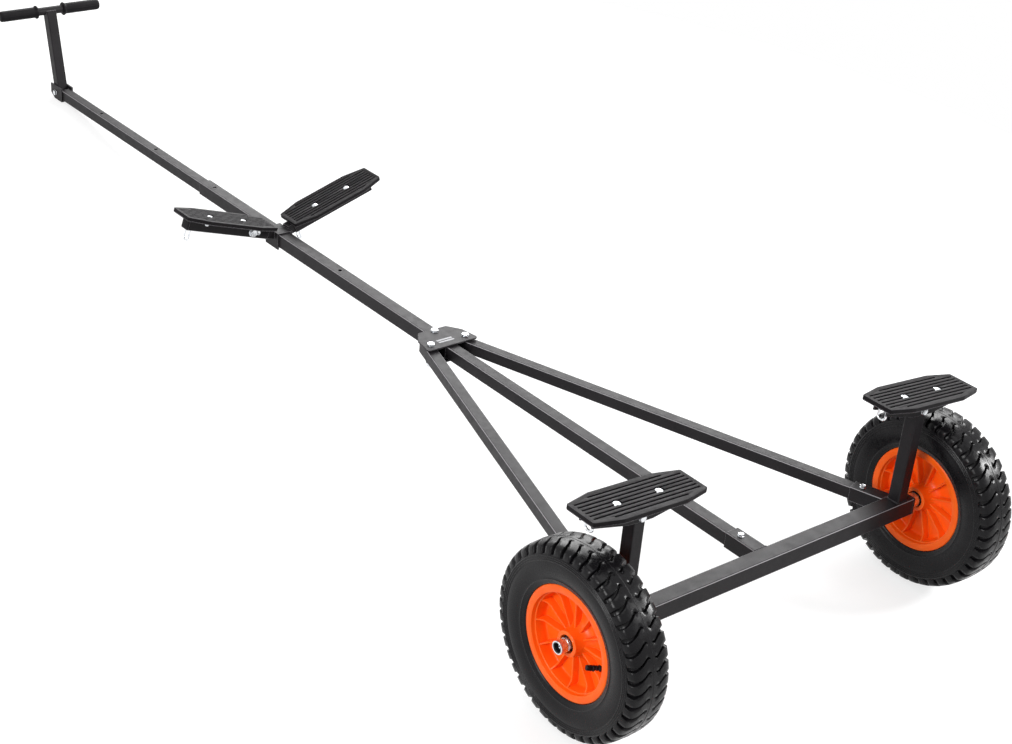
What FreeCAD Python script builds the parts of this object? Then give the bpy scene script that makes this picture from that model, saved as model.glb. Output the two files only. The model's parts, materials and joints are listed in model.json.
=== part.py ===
# Boat launching trolley, one solid for each piece, millimetres.
# The trolley is drawn level, with the axle's centre as its origin, x towards the handle,
# y to the left and z up. The park frame then lowers the nose of the drawbar to the floor.
import FreeCAD
import Part
import Sketcher
import math
import os

# Sizes
# Each row is a name, a number and what it measures. Lengths are in mm, angles in degrees.
SIZES = [
    ("TyreDiameter", 381, "over the tread lugs"),
    ("TyreWidth", 90, "over the side walls"),
    ("TyreCrown", 56, "width of the level part of the tread"),
    ("TyreShoulderDrop", 9, "from the tread down to the shoulder"),
    ("TyreShoulder", 78, "width at the shoulder"),
    ("SeatWidth", 60, "width of the rim's seat between the beads"),
    ("LugCount", 53, "lugs on each half of the tread"),
    ("LugFoot", 15, "from the tread down to the foot of the lugs"),
    ("LugFootWidth", 87, "width at the foot of the lugs"),
    ("GrooveStart", 3, "from the middle of the tread to the tip of a groove"),
    ("GrooveTip", 2, "depth of a groove at its tip"),
    ("GrooveMouth", 8.4, "width of a groove at the foot of the lugs"),
    ("TrackWidth", 938, "between the middles of the tyres"),
    ("RimDiameter", 223, "over the rim's lips"),
    ("RimWidth", 74, "over the rim's lips"),
    ("RimLip", 17, "how far the lip stands in from its edge to the dish"),
    ("RimBevel", 2, "bevel of the lip's edge"),
    ("RimBarrel", 5, "wall of the rim's barrel"),
    ("DiscThick", 6, "wall of the disc"),
    ("HubDiameter", 50, "outside of the hub at its ends"),
    ("HubLength", 70, "along the spindle"),
    ("FlareReach", 21, "from the middle of the wheel to where the hub's flare begins"),
    ("NeckDiameter", 62, "outside of the flare half way down"),
    ("NeckReach", 9, "from the middle of the wheel to half way down the flare"),
    ("FlareDiameter", 92, "where the flare runs out into the disc"),
    ("RibCount", 12, "ribs on the disc"),
    ("RibThick", 3.5, "thickness of a rib"),
    ("RibReach", 17.5, "from the middle of the wheel to the edge of a rib"),
    ("RibBend", 14, "from the barrel to where a rib's edge rises to meet it"),
    ("RibBarrel", 27, "from the middle of the wheel to a rib's edge at the barrel"),
    ("RibTurnAngle", 7.5, "how far the first rib is turned from level"),
    ("BearingOuter", 35, "outside of a wheel bearing"),
    ("BearingWidth", 11, "width of a wheel bearing"),
    ("BearingInset", 5, "how far a bearing's outer ring stands back in the hub"),
    ("SpindleDiameter", 20, "wheel spindle"),
    ("ThreadDiameter", 16, "threaded end of the spindle"),
    ("ThreadLength", 13, "how far the thread stands out past the hub"),
    ("HubGap", 1, "between the hub and the shoulder of the spindle"),
    ("CollarDiameter", 30, "shoulder of the spindle"),
    ("NutAcross", 24, "across the flats of the spindle nut"),
    ("NutThick", 18, "thickness of the spindle nut, which hides the end of the thread"),
    ("WasherDiameter", 30, "washer below the nut"),
    ("WasherThick", 3, "washer below the nut"),
    ("ValveDiameter", 8, "valve stem"),
    ("ValveLength", 26, "valve stem"),
    ("ValveRadius", 66, "from the hub to the foot of the valve stem"),
    ("ValveLeanAngle", 36, "how far the valve stem leans towards the hub"),
    ("ValveTurnAngle", 30.5, "how far the valve stem is turned below the hub's level"),
    ("RunClear", 0.1, "running clearance on a radius"),
    ("SlideClear", 0.3, "sliding clearance on each face"),
    ("AxleOuter", 38, "square tube of the cross axle"),
    ("CollarReach", 22, "length of that shoulder past the axle's end plate"),
    ("AxleWall", 2.5, "wall of the cross axle"),
    ("EndPlate", 5, "plate that closes the axle"),
    ("BigOuter", 35, "outer square tube of the drawbar"),
    ("SmallOuter", 30, "inner square tube of the drawbar"),
    ("SmallWall", 2, "wall of the inner tube"),
    ("BraceOuter", 28, "square tube of the braces and posts"),
    ("BraceWall", 2, "wall of the braces and posts"),
    ("SocketReach", 96, "from the axle's centre to the front of its sockets"),
    ("TubeCorner", 3, "rounding along the corners of the square tubes"),
    ("MidLength", 1104, "outer tube of the drawbar"),
    ("RearLap", 122, "how far the rear tube reaches into the outer tube"),
    ("FrontLap", 312, "how far the front tube reaches into the outer tube"),
    ("FrontLength", 1128, "front tube"),
    ("HoleDiameter", 11, "holes for the adjusting pin"),
    ("HoleInset", 50, "from the outer tube's front end to its front hole"),
    ("HoleRear", 456, "from the outer tube's rear end to its rear hole"),
    ("HoleStep", 319, "between the holes of the front tube"),
    ("PlateThick", 4, "gusset plates"),
    ("PlateEdge", 21, "from the bolts over the braces to the rear edge of the gusset plates"),
    ("PlateStraight", 52, "from the rear edge of the plates to their corner"),
    ("PlateTaper", 32, "from that corner to the front edge of the plates"),
    ("PlateMargin", 23, "from the bolts over the braces to the side of the plates"),
    ("PlateNarrowing", 10, "how far the side has drawn in at the corner"),
    ("PlateNarrow", 40, "half width at the front edge"),
    ("LowerInset", 16, "how far the lower plate stands in from the side of the upper one"),
    ("PlateLap", 7, "from the rear edge of the plates to the outer tube"),
    ("BoltDiameter", 8, "frame bolts"),
    ("BoltAcross", 13, "across the flats of a frame bolt"),
    ("BoltHead", 5.5, "height of a bolt's head"),
    ("PlateBoltAcross", 17, "across the flats of the bolts on the gusset plates"),
    ("KeelInset", 10, "from the front edge of the plates to the bolt on the centre line"),
    ("WingBolt", 1022, "bolts over the braces"),
    ("WingBoltSide", 49, "how far those bolts stand to the side"),
    ("BraceInset", 31, "from the axle's end to where the line of a brace meets it"),
    ("BraceEnd", 38, "how far a brace runs on past its bolt"),
    ("BraceStart", 42, "where a brace starts in its socket"),
    ("SocketWall", 2.2, "wall of the sockets"),
    ("PostInset", 31, "from the axle's end to the middle of a post"),
    ("PadPivot", 232, "height of the pivot of the pads over the axle"),
    ("PostOver", 10, "how far a post runs on past the pivot"),
    ("PadHeight", 267, "top of the rear pads over the axle"),
    ("PadLength", 270, "length of a pad"),
    ("PadWidth", 100, "width of a pad"),
    ("PadEnd", 72, "width of a pad at its ends"),
    ("PadTaper", 60, "length of the tapered end of a pad"),
    ("PadThick", 10, "thickness of a pad"),
    ("PadBolts", 100, "between the bolts of a pad"),
    ("PadGrooves", 8, "grooves along a pad"),
    ("GrooveStep", 10.4, "between the grooves of a pad"),
    ("GrooveWidth", 4, "width of a groove in a pad"),
    ("GrooveDepth", 2.5, "depth of a groove in a pad"),
    ("GrooveInset", 8, "from the edge of a pad to its grooves"),
    ("PadBoltSeat", 17, "recess round a pad's bolt"),
    ("LeftPadAngle", 3, "how far the left pad leans in the picture"),
    ("RightPadAngle", 5.5, "how far the right pad leans in the picture"),
    ("CarrierLength", 236, "channel below a pad"),
    ("CarrierWall", 3, "wall of that channel"),
    ("CarrierDeep", 34, "depth of that channel"),
    ("CarrierSlope", 16, "height of that channel at its ends"),
    ("LoopWire", 5, "wire of a strap loop"),
    ("LoopWidth", 24, "width of a strap loop"),
    ("LoopDrop", 30, "how far a strap loop hangs down"),
    ("BowPlace", 1742, "from the axle to the bow support"),
    ("BowAngle", 17.4, "slope of the arms of the bow support"),
    ("BowBase", 8, "height where the arms meet on the centre line"),
    ("BowPadPlace", 169, "from the centre line to the middle of a bow pad"),
    ("ArmOuter", 30, "square tube of the bow arms"),
    ("ArmWall", 2.5, "wall of the bow arms"),
    ("ArmStart", 42, "inner end of a bow arm"),
    ("ArmEnd", 282, "outer end of a bow arm"),
    ("StubEnd", 112, "outer end of the stub inside an arm"),
    ("SaddleLength", 58, "saddle along the drawbar"),
    ("SaddleWall", 4, "wall of the saddle"),
    ("SaddleDeep", 22, "how far the saddle reaches below the centre line"),
    ("PivotReach", 27, "from the front tube's end to the handle's pivot"),
    ("HandleAngle", 14, "how far the handle leans forward"),
    ("HandleReach", 239, "from the pivot to the cross bar"),
    ("HandleFoot", 9, "how far the handle's tube runs on below the pivot"),
    ("BarDiameter", 23, "cross bar of the handle"),
    ("BarHalf", 150, "half of the cross bar"),
    ("GripDiameter", 31, "rubber grip"),
    ("GripInner", 46, "inner end of a grip"),
    ("GripOuter", 158, "outer end of a grip"),
    ("FlangeDiameter", 38, "flange of a grip"),
    ("FlangeThick", 5, "flange of a grip"),
    ("ForkWall", 4, "plates of the handle's fork"),
    ("ForkLap", 10, "how far the fork reaches back along the front tube"),
    ("NoseReach", 30, "from the pivot to the front end of the fork"),
    ("HeelReach", 7, "from the pivot to where the fork's lower edge turns up"),
    ("ForkTop", 22, "upper edge of the fork"),
    ("ForkLip", 6, "how far the fork's front edge stops below the centre line"),
]

doc = FreeCAD.newDocument("BoatTrolley")
sheet = doc.addObject("Spreadsheet::Sheet", "Sizes")


class Length:
    """A number from the sheet together with the text that works it out."""

    def __init__(self, text, value):
        self.text = text
        self.value = value

    def __add__(self, other):
        return Length("(%s + %s)" % (self.text, text_of(other)), self.value + value_of(other))

    def __sub__(self, other):
        return Length("(%s - %s)" % (self.text, text_of(other)), self.value - value_of(other))

    def __mul__(self, other):
        return Length("(%s * %s)" % (self.text, text_of(other)), self.value * value_of(other))

    def __truediv__(self, other):
        return Length("(%s / %s)" % (self.text, text_of(other)), self.value / value_of(other))

    def __neg__(self):
        return Length("(0 - %s)" % self.text, -self.value)


def as_length(item):
    return item if isinstance(item, Length) else Length("%.12g" % item, float(item))


def text_of(item):
    return item.text if isinstance(item, Length) else "%.12g" % item


def value_of(item):
    return item.value if isinstance(item, Length) else float(item)


def fill_sheet():
    for row, (name, number, note) in enumerate(SIZES, start=1):
        sheet.set("A%d" % row, name)
        sheet.set("B%d" % row, "%.12g" % number)
        sheet.setAlias("B%d" % row, name)
        sheet.set("C%d" % row, note)
    doc.recompute()
    return {name: Length("Sizes.%s" % name, float(sheet.get(name))) for name, number, note in SIZES}


Z = fill_sheet()


def sine(angle):
    return Length("sin(%s * 1 deg)" % angle.text, math.sin(math.radians(angle.value)))


def cosine(angle):
    return Length("cos(%s * 1 deg)" % angle.text, math.cos(math.radians(angle.value)))


def tangent_angle(rise, run):
    text = "(atan(%s / %s) / 1 deg)" % (text_of(rise), text_of(run))
    return Length(text, math.degrees(math.atan(value_of(rise) / value_of(run))))


def sine_angle(rise, run):
    text = "(asin(%s / %s) / 1 deg)" % (text_of(rise), text_of(run))
    return Length(text, math.degrees(math.asin(value_of(rise) / value_of(run))))


def root(item):
    return Length("sqrt(%s)" % item.text, math.sqrt(item.value))


# Frames
def frame(name, base=(0, 0, 0), axis=(0, 0, 1), angle=0, parent=None):
    """A named place that bodies hang on, with its numbers bound to the sheet."""
    spot = doc.addObject("App::Placement", name)
    numbers = [value_of(item) for item in base]
    turn = FreeCAD.Rotation(FreeCAD.Vector(*axis), value_of(angle))
    spot.Placement = FreeCAD.Placement(FreeCAD.Vector(*numbers), turn)
    for letter, item in zip("xyz", base):
        if isinstance(item, Length):
            spot.setExpression("Placement.Base." + letter, item.text)
    if isinstance(angle, Length):
        spot.setExpression("Placement.Rotation.Angle", angle.text)
    chain = name + ".Placement"
    return chain if parent is None else parent + " * " + chain


def node(label, place):
    body = doc.addObject("PartDesign::Body", label)
    body.Label = label
    body.setExpression("Placement", place)
    return body


# Sketches
PLANES = {"XY": "XY_Plane", "XZ": "XZ_Plane", "YZ": "YZ_Plane"}


def origin_part(body, role):
    for feature in body.Origin.OriginFeatures:
        if feature.Role == role:
            return feature
    raise ValueError(role)


def bound(sketch, kind, index, position, item):
    number = sketch.addConstraint(Sketcher.Constraint(kind, -1, 1, index, position, value_of(item)))
    if isinstance(item, Length):
        sketch.setExpression("Constraints[%d]" % number, item.text)


def add_outline(sketch, points):
    """A closed outline, each corner held at its own two bound distances."""
    first = sketch.GeometryCount
    count = len(points)
    for index in range(count):
        ends = [points[index], points[(index + 1) % count]]
        corners = [FreeCAD.Vector(value_of(a), value_of(b), 0) for a, b in ends]
        sketch.addGeometry(Part.LineSegment(*corners), False)
    for index in range(count):
        following = first + (index + 1) % count
        sketch.addConstraint(Sketcher.Constraint("Coincident", first + index, 2, following, 1))
    for index, (a, b) in enumerate(points):
        bound(sketch, "DistanceX", first + index, 1, a)
        bound(sketch, "DistanceY", first + index, 1, b)


def add_ring(sketch, across, up, radius):
    index = sketch.GeometryCount
    centre = FreeCAD.Vector(value_of(across), value_of(up), 0)
    sketch.addGeometry(Part.Circle(centre, FreeCAD.Vector(0, 0, 1), value_of(radius)), False)
    bound(sketch, "DistanceX", index, 3, across)
    bound(sketch, "DistanceY", index, 3, up)
    number = sketch.addConstraint(Sketcher.Constraint("Radius", index, value_of(radius)))
    sketch.setExpression("Constraints[%d]" % number, radius.text)


def sketch_on(body, plane, shapes, offset=0):
    sketch = body.newObject("Sketcher::SketchObject", body.Label + "_sketch")
    sketch.AttachmentSupport = (origin_part(body, PLANES[plane]), [""])
    sketch.MapMode = "FlatFace"
    sketch.AttachmentOffset = FreeCAD.Placement(
        FreeCAD.Vector(0, 0, value_of(offset)), FreeCAD.Rotation())
    if isinstance(offset, Length):
        sketch.setExpression("AttachmentOffset.Base.z", offset.text)
    for shape in shapes:
        if len(shape) == 3 and isinstance(shape[2], Length):
            add_ring(sketch, *shape)
        else:
            add_outline(sketch, shape)
    return sketch


# Solids
TOUCH = 0.001


def prism(body, plane, shapes, low, high):
    """Material between two levels across the plane."""
    start = -as_length(high) if plane == "XZ" else low
    sketch = sketch_on(body, plane, shapes, start)
    pad = body.newObject("PartDesign::Pad", body.Label + "_pad")
    pad.Profile = sketch
    pad.Length = value_of(high) - value_of(low)
    pad.setExpression("Length", (as_length(high) - low).text)
    body.Tip = pad
    return pad


def cut(body, plane, shapes, low, high):
    """A cut between two levels across the plane."""
    start = -as_length(low) if plane == "XZ" else high
    sketch = sketch_on(body, plane, shapes, start)
    pocket = body.newObject("PartDesign::Pocket", body.Label + "_cut")
    pocket.Profile = sketch
    pocket.Length = value_of(high) - value_of(low)
    pocket.setExpression("Length", (as_length(high) - low).text)
    body.Tip = pocket
    return pocket


def turned(body, shapes):
    """A profile of radius and width turned about the wheel's axis."""
    sketch = sketch_on(body, "XY", shapes)
    ring = body.newObject("PartDesign::Revolution", body.Label + "_turn")
    ring.Profile = sketch
    ring.ReferenceAxis = (sketch, ["V_Axis"])
    ring.Angle = 360
    body.Tip = ring
    return ring


def round_corners(body, tube, direction):
    """Rounds the long outer corners of a square tube that runs along one axis."""
    doc.recompute()
    bounds = tube.Shape.BoundBox
    limits = [(bounds.XMin, bounds.XMax), (bounds.YMin, bounds.YMax), (bounds.ZMin, bounds.ZMax)]
    across = [axis for axis in range(3) if axis != direction]
    names = []
    for number, edge in enumerate(tube.Shape.Edges, start=1):
        middle = edge.CenterOfMass
        outer = [min(abs(middle[axis] - limit) for limit in limits[axis]) < TOUCH for axis in across]
        if all(outer):
            names.append("Edge%d" % number)
    fillet = body.newObject("PartDesign::Fillet", body.Label + "_corners")
    fillet.Base = (tube, names)
    fillet.Radius = Z["TubeCorner"].value
    fillet.setExpression("Radius", Z["TubeCorner"].text)
    body.Tip = fillet
    return fillet


def box(across_low, across_high, up_low, up_high):
    return [(across_low, up_low), (across_high, up_low),
            (across_high, up_high), (across_low, up_high)]


def square(size):
    half = size / 2
    return box(-half, half, -half, half)


def hexagon(across, up, flats):
    side = flats / 2
    corner = flats / math.sqrt(3)
    return [(across + corner, up), (across + corner / 2, up + side),
            (across - corner / 2, up + side), (across - corner, up),
            (across - corner / 2, up - side), (across + corner / 2, up - side)]


def ordered(side, near, far):
    """Two levels on one side of the centre line, lower first."""
    return (as_length(near), as_length(far)) if side > 0 else (-as_length(far), -as_length(near))


# Frames that the pieces hang on
PLATE_REAR = Z["WingBolt"] - Z["PlateEdge"]
PLATE_MID = PLATE_REAR + Z["PlateStraight"]
PLATE_FRONT = PLATE_MID + Z["PlateTaper"]
MID_REAR = PLATE_REAR + Z["PlateLap"]
MID_FRONT = MID_REAR + Z["MidLength"]
FRONT_REAR = MID_FRONT - Z["FrontLap"]
FRONT_END = FRONT_REAR + Z["FrontLength"]
PIVOT = FRONT_END + Z["PivotReach"]
FORK_HEEL = PIVOT + Z["HeelReach"]
FORK_NOSE = PIVOT + Z["NoseReach"]
NOSE_DROP = Z["SmallOuter"] / 2 + Z["ForkWall"]
TYRE_RADIUS = Z["TyreDiameter"] / 2
NOSE_LINE = root(FORK_HEEL * FORK_HEEL + NOSE_DROP * NOSE_DROP)
PARK_ANGLE = sine_angle(TYRE_RADIUS, NOSE_LINE) - tangent_angle(NOSE_DROP, FORK_HEEL)
BAR_X = PIVOT + Z["HandleReach"] * sine(Z["HandleAngle"])
BAR_Z = Z["HandleReach"] * cosine(Z["HandleAngle"])
FRONT_REACH = BAR_X * cosine(PARK_ANGLE) + BAR_Z * sine(PARK_ANGLE) + Z["FlangeDiameter"] / 2
PARK_X = (TYRE_RADIUS - FRONT_REACH) / 2
WHEEL_SIDE = Z["TrackWidth"] / 2
AXLE_HALF = WHEEL_SIDE - Z["HubLength"] / 2 - Z["HubGap"] - Z["CollarReach"] - Z["EndPlate"]
POST_SIDE = AXLE_HALF - Z["PostInset"]
BRACE_FOOT = AXLE_HALF - Z["BraceInset"]
BRACE_ANGLE = tangent_angle(BRACE_FOOT - Z["WingBoltSide"], Z["WingBolt"])

PARK = frame("Park", (PARK_X, 0, TYRE_RADIUS), (0, 1, 0), PARK_ANGLE)
HANDLE = frame("Handle", (PIVOT, 0, 0), (0, 1, 0), Z["HandleAngle"], PARK)
SIDES = [("left", 1), ("right", -1)]
WHEEL = {name: frame(name + "_hub", (0, WHEEL_SIDE * side, 0), (0, 1, 0), -PARK_ANGLE, PARK)
         for name, side in SIDES}
# The first groove goes half a pitch past the lowest place, so that the tread stands on a flat.
TREAD_TURN = as_length(180) / Z["LugCount"] + 180
TREAD = {name: frame(name + "_tread_turn", axis=(0, 1, 0), angle=TREAD_TURN, parent=WHEEL[name])
         for name, side in SIDES}
RIBS = {name: frame(name + "_rib_turn", axis=(0, 1, 0), angle=Z["RibTurnAngle"], parent=WHEEL[name])
        for name, side in SIDES}
VALVE_TURN = {name: frame(name + "_valve_turn", axis=(0, 1, 0), angle=-Z["ValveTurnAngle"],
                          parent=WHEEL[name]) for name, side in SIDES}
VALVE = {name: frame(name + "_valve_foot", (-Z["ValveRadius"], 0, 0), (0, 0, 1),
                     Z["ValveLeanAngle"] * -side, VALVE_TURN[name]) for name, side in SIDES}
BRACE = {name: frame(name + "_brace_line", (0, BRACE_FOOT * side, 0), (0, 0, 1),
                     BRACE_ANGLE * -side, PARK) for name, side in SIDES}
TILT = {"left": Z["LeftPadAngle"], "right": Z["RightPadAngle"]}
REAR_PAD = {name: frame(name + "_pad_pivot", (0, POST_SIDE * side, Z["PadPivot"]),
                        (1, 0, 0), TILT[name], PARK) for name, side in SIDES}
BOW = {name: frame(name + "_bow_line", (Z["BowPlace"], 0, Z["BowBase"]), (1, 0, 0),
                   Z["BowAngle"] * side, PARK) for name, side in SIDES}


# Wheels
TYRE_SEAT = Z["RimDiameter"] / 2 - Z["RimLip"] + Z["RimBarrel"]
LIP_CORNER = Z["RimWidth"] / 2 - Z["RimBevel"]


def tyre_outline():
    """Corners of the tyre's section as radius and width, all the way round."""
    foot = TYRE_RADIUS - Z["LugFoot"]
    belly = (foot + Z["RimDiameter"] / 2) / 2
    half = [(TYRE_RADIUS, Z["TyreCrown"] / 2),
            (TYRE_RADIUS - Z["TyreShoulderDrop"], Z["TyreShoulder"] / 2),
            (foot, Z["LugFootWidth"] / 2), (belly, Z["TyreWidth"] / 2),
            (Z["RimDiameter"] / 2, LIP_CORNER), (TYRE_SEAT, Z["SeatWidth"] / 2)]
    return half + [(a, -b) for a, b in reversed(half)]


def tyre_blank():
    """The tyre before its grooves are cut: a ring with one flat for each pair of lugs."""
    outline = [(value_of(a), value_of(b)) for a, b in tyre_outline()]
    count = int(Z["LugCount"].value)
    turn = 2 * math.pi / count
    flat = math.cos(turn / 2)
    rings = []
    for radius, width in outline:
        angles = [math.pi / 2 + turn * index for index in range(count)]
        rings.append([FreeCAD.Vector(radius / flat * math.cos(a), width, radius / flat * math.sin(a))
                      for a in angles])
    faces = []
    for near, far in zip(rings, rings[1:] + rings[:1]):
        for index in range(count):
            following = (index + 1) % count
            corners = [near[index], far[index], far[following], near[following]]
            faces.append(Part.Face(Part.makePolygon(corners + corners[:1])))
    blank = doc.addObject("Part::Feature", "tyre_blank")
    blank.Shape = Part.Solid(Part.makeShell(faces)).removeSplitter()
    return blank


def tread_groove(body, side):
    """A wedge-shaped groove from near the middle of the tread out over the shoulder."""
    drop = Z["LugFoot"] - Z["GrooveTip"]
    reach = Z["LugFootWidth"] / 2 - Z["GrooveStart"]
    span = root(drop * drop + reach * reach)
    length = span + Z["GrooveStart"]
    mouth = Z["GrooveMouth"] / 2 * length / span
    sketch = sketch_on(body, "YZ", [[(0, 0), (length * side, -mouth), (length * side, mouth)]])
    sketch.AttachmentOffset = FreeCAD.Placement(
        FreeCAD.Vector(Z["GrooveStart"].value * side, 0, (TYRE_RADIUS - Z["GrooveTip"]).value),
        FreeCAD.Rotation(FreeCAD.Vector(0, 1, 0), tangent_angle(drop, reach).value * side))
    sketch.setExpression("AttachmentOffset.Base.x", (Z["GrooveStart"] * side).text)
    sketch.setExpression("AttachmentOffset.Base.z", (TYRE_RADIUS - Z["GrooveTip"]).text)
    sketch.setExpression("AttachmentOffset.Rotation.Angle", (tangent_angle(drop, reach) * side).text)
    groove = body.newObject("PartDesign::Pocket", body.Label + "_groove")
    groove.Profile = sketch
    groove.Length = Z["LugFoot"].value * 2
    groove.setExpression("Length", (Z["LugFoot"] * 2).text)
    groove.Reversed = True
    return groove


def pattern(body, features, count):
    """Repeats features round the wheel's axis."""
    rounds = body.newObject("PartDesign::PolarPattern", body.Label + "_pattern")
    rounds.Originals = features
    rounds.Axis = (origin_part(body, "Y_Axis"), [""])
    rounds.Angle = 360
    rounds.Occurrences = int(count.value)
    rounds.setExpression("Occurrences", count.text)
    body.Tip = rounds
    return rounds


def tyre(name, side):
    body = node(name + "_tyre", TREAD[name])
    body.BaseFeature = TYRE_BLANK
    grooves = [tread_groove(body, 1), tread_groove(body, -1)]
    pattern(body, grooves, Z["LugCount"])
    return body


def rim(name, side):
    """Hub, disc, barrel and lips in one turned piece, with ribs across the disc."""
    body = node(name + "_rim", RIBS[name])
    edge = Z["RimDiameter"] / 2
    inner = edge - Z["RimLip"]
    lip = Z["RimWidth"] / 2
    hub = Z["HubDiameter"] / 2
    end = Z["HubLength"] / 2
    disc = Z["DiscThick"] / 2
    half = [(Z["BearingOuter"] / 2, end), (hub, end), (hub, Z["FlareReach"]),
            (Z["NeckDiameter"] / 2, Z["NeckReach"]), (Z["FlareDiameter"] / 2, disc),
            (inner, disc), (inner, lip), (edge - Z["RimBevel"], lip), (edge, LIP_CORNER),
            (TYRE_SEAT, Z["SeatWidth"] / 2)]
    turned(body, [half + [(a, -b) for a, b in reversed(half)]])
    bend = inner - Z["RibBend"]
    seat = inner + Z["RimBarrel"] / 2
    edge_line = [(hub, Z["RibReach"]), (bend, Z["RibReach"]), (seat, Z["RibBarrel"])]
    rib = prism(body, "XY", [edge_line + [(a, -b) for a, b in reversed(edge_line)]],
                -Z["RibThick"] / 2, Z["RibThick"] / 2)
    pattern(body, [rib], Z["RibCount"])
    return body


def bearings(name, side):
    body = node(name + "_bearings", WHEEL[name])
    end = Z["HubLength"] / 2
    outer = Z["BearingOuter"] / 2
    inner = Z["SpindleDiameter"] / 2 + Z["RunClear"]
    sleeve = (outer + inner) / 2
    face = end - Z["BearingInset"]
    back = face - Z["BearingWidth"]
    half = [(inner, end), (sleeve, end), (sleeve, face), (outer, face), (outer, back), (sleeve, back)]
    turned(body, [half + [(a, -b) for a, b in reversed(half)]])
    return body


def valve(name, side):
    body = node(name + "_valve", VALVE[name])
    prism(body, "XZ", [(0, 0, Z["ValveDiameter"] / 2)], *ordered(side, 0, Z["ValveLength"]))
    return body


def spindle(name, side):
    body = node(name + "_spindle", PARK)
    plate = AXLE_HALF
    face = plate + Z["EndPlate"]
    hub = WHEEL_SIDE - Z["HubLength"] / 2
    step = WHEEL_SIDE + Z["HubLength"] / 2 + Z["HubGap"]
    tip = step - Z["HubGap"] + Z["ThreadLength"]
    prism(body, "XZ", [square(Z["AxleOuter"])], *ordered(side, plate, face))
    prism(body, "XZ", [(0, 0, Z["CollarDiameter"] / 2)], *ordered(side, plate, hub - Z["HubGap"]))
    prism(body, "XZ", [(0, 0, Z["SpindleDiameter"] / 2)], *ordered(side, plate, step))
    prism(body, "XZ", [(0, 0, Z["ThreadDiameter"] / 2)], *ordered(side, plate, tip))
    return body


def wheel_nut(name, side):
    body = node(name + "_wheel_nut", PARK)
    hub = WHEEL_SIDE + Z["HubLength"] / 2
    washer = hub + Z["HubGap"]
    nut = washer + Z["WasherThick"]
    bore = (0, 0, Z["ThreadDiameter"] / 2)
    prism(body, "XZ", [(0, 0, Z["WasherDiameter"] / 2), bore], *ordered(side, washer, nut))
    flats = hexagon(as_length(0), as_length(0), Z["NutAcross"])
    prism(body, "XZ", [flats, bore], *ordered(side, nut, nut + Z["NutThick"]))
    return body


# Frame
def cross_axle():
    body = node("cross_axle", PARK)
    hollow = Z["AxleOuter"] - Z["AxleWall"] * 2
    tube = prism(body, "XZ", [square(Z["AxleOuter"]), square(hollow)], -AXLE_HALF, AXLE_HALF)
    round_corners(body, tube, 1)
    return body


def socket_bore():
    return Z["BigOuter"] - Z["SocketWall"] * 2


def rear_socket():
    body = node("rear_socket", PARK)
    tube = prism(body, "YZ", [square(Z["BigOuter"]), square(socket_bore())],
                 Z["AxleOuter"] / 2, Z["SocketReach"])
    round_corners(body, tube, 0)
    return body


def rear_tube():
    body = node("rear_tube", PARK)
    hollow = Z["SmallOuter"] - Z["SmallWall"] * 2
    tube = prism(body, "YZ", [square(Z["SmallOuter"]), square(hollow)],
                 Z["AxleOuter"] / 2, MID_REAR + Z["RearLap"])
    round_corners(body, tube, 0)
    return body


def hole(body, along, size):
    cut(body, "XY", [(along, 0, Z["HoleDiameter"] / 2)], -size, size)


def middle_tube():
    body = node("middle_tube", PARK)
    tube = prism(body, "YZ", [square(Z["BigOuter"]), square(socket_bore())], MID_REAR, MID_FRONT)
    round_corners(body, tube, 0)
    hole(body, MID_FRONT - Z["HoleInset"], Z["BigOuter"])
    hole(body, MID_REAR + Z["HoleRear"], Z["BigOuter"])
    return body


def front_tube():
    body = node("front_tube", PARK)
    hollow = Z["SmallOuter"] - Z["SmallWall"] * 2
    tube = prism(body, "YZ", [square(Z["SmallOuter"]), square(hollow)], FRONT_REAR, FRONT_END)
    round_corners(body, tube, 0)
    for step in range(3):
        hole(body, MID_FRONT - Z["HoleInset"] + Z["HoleStep"] * step, Z["BigOuter"])
    return body


def gusset(label, low, high, inset=0):
    body = node(label, PARK)
    wide = Z["WingBoltSide"] + Z["PlateMargin"] - inset
    corners = [(PLATE_REAR, wide), (PLATE_MID, wide - Z["PlateNarrowing"]),
               (PLATE_FRONT, Z["PlateNarrow"] - inset)]
    points = corners + [(a, -b) for a, b in reversed(corners)]
    prism(body, "XY", [points], low, high)
    return body


def brace(name, side):
    body = node(name + "_brace", BRACE[name])
    hollow = Z["BraceOuter"] - Z["BraceWall"] * 2
    end = Z["WingBolt"] / cosine(BRACE_ANGLE) + Z["BraceEnd"]
    tube = prism(body, "YZ", [square(Z["BraceOuter"]), square(hollow)], Z["BraceStart"], end)
    round_corners(body, tube, 0)
    return body


def brace_socket(name, side):
    body = node(name + "_brace_socket", BRACE[name])
    outer = Z["BraceOuter"] + Z["SocketWall"] * 2 + Z["SlideClear"] * 2
    bore = Z["BraceOuter"] + Z["SlideClear"] * 2
    tube = prism(body, "YZ", [square(outer), square(bore)], 0, Z["SocketReach"])
    round_corners(body, tube, 0)
    slant = sine(BRACE_ANGLE) / cosine(BRACE_ANGLE)
    face = Z["AxleOuter"] / 2 / cosine(BRACE_ANGLE)
    points = [(-outer, -outer), (face + outer * slant * side, -outer),
              (face - outer * slant * side, outer), (-outer, outer)]
    cut(body, "XY", [points], -outer, outer)
    return body


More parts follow.
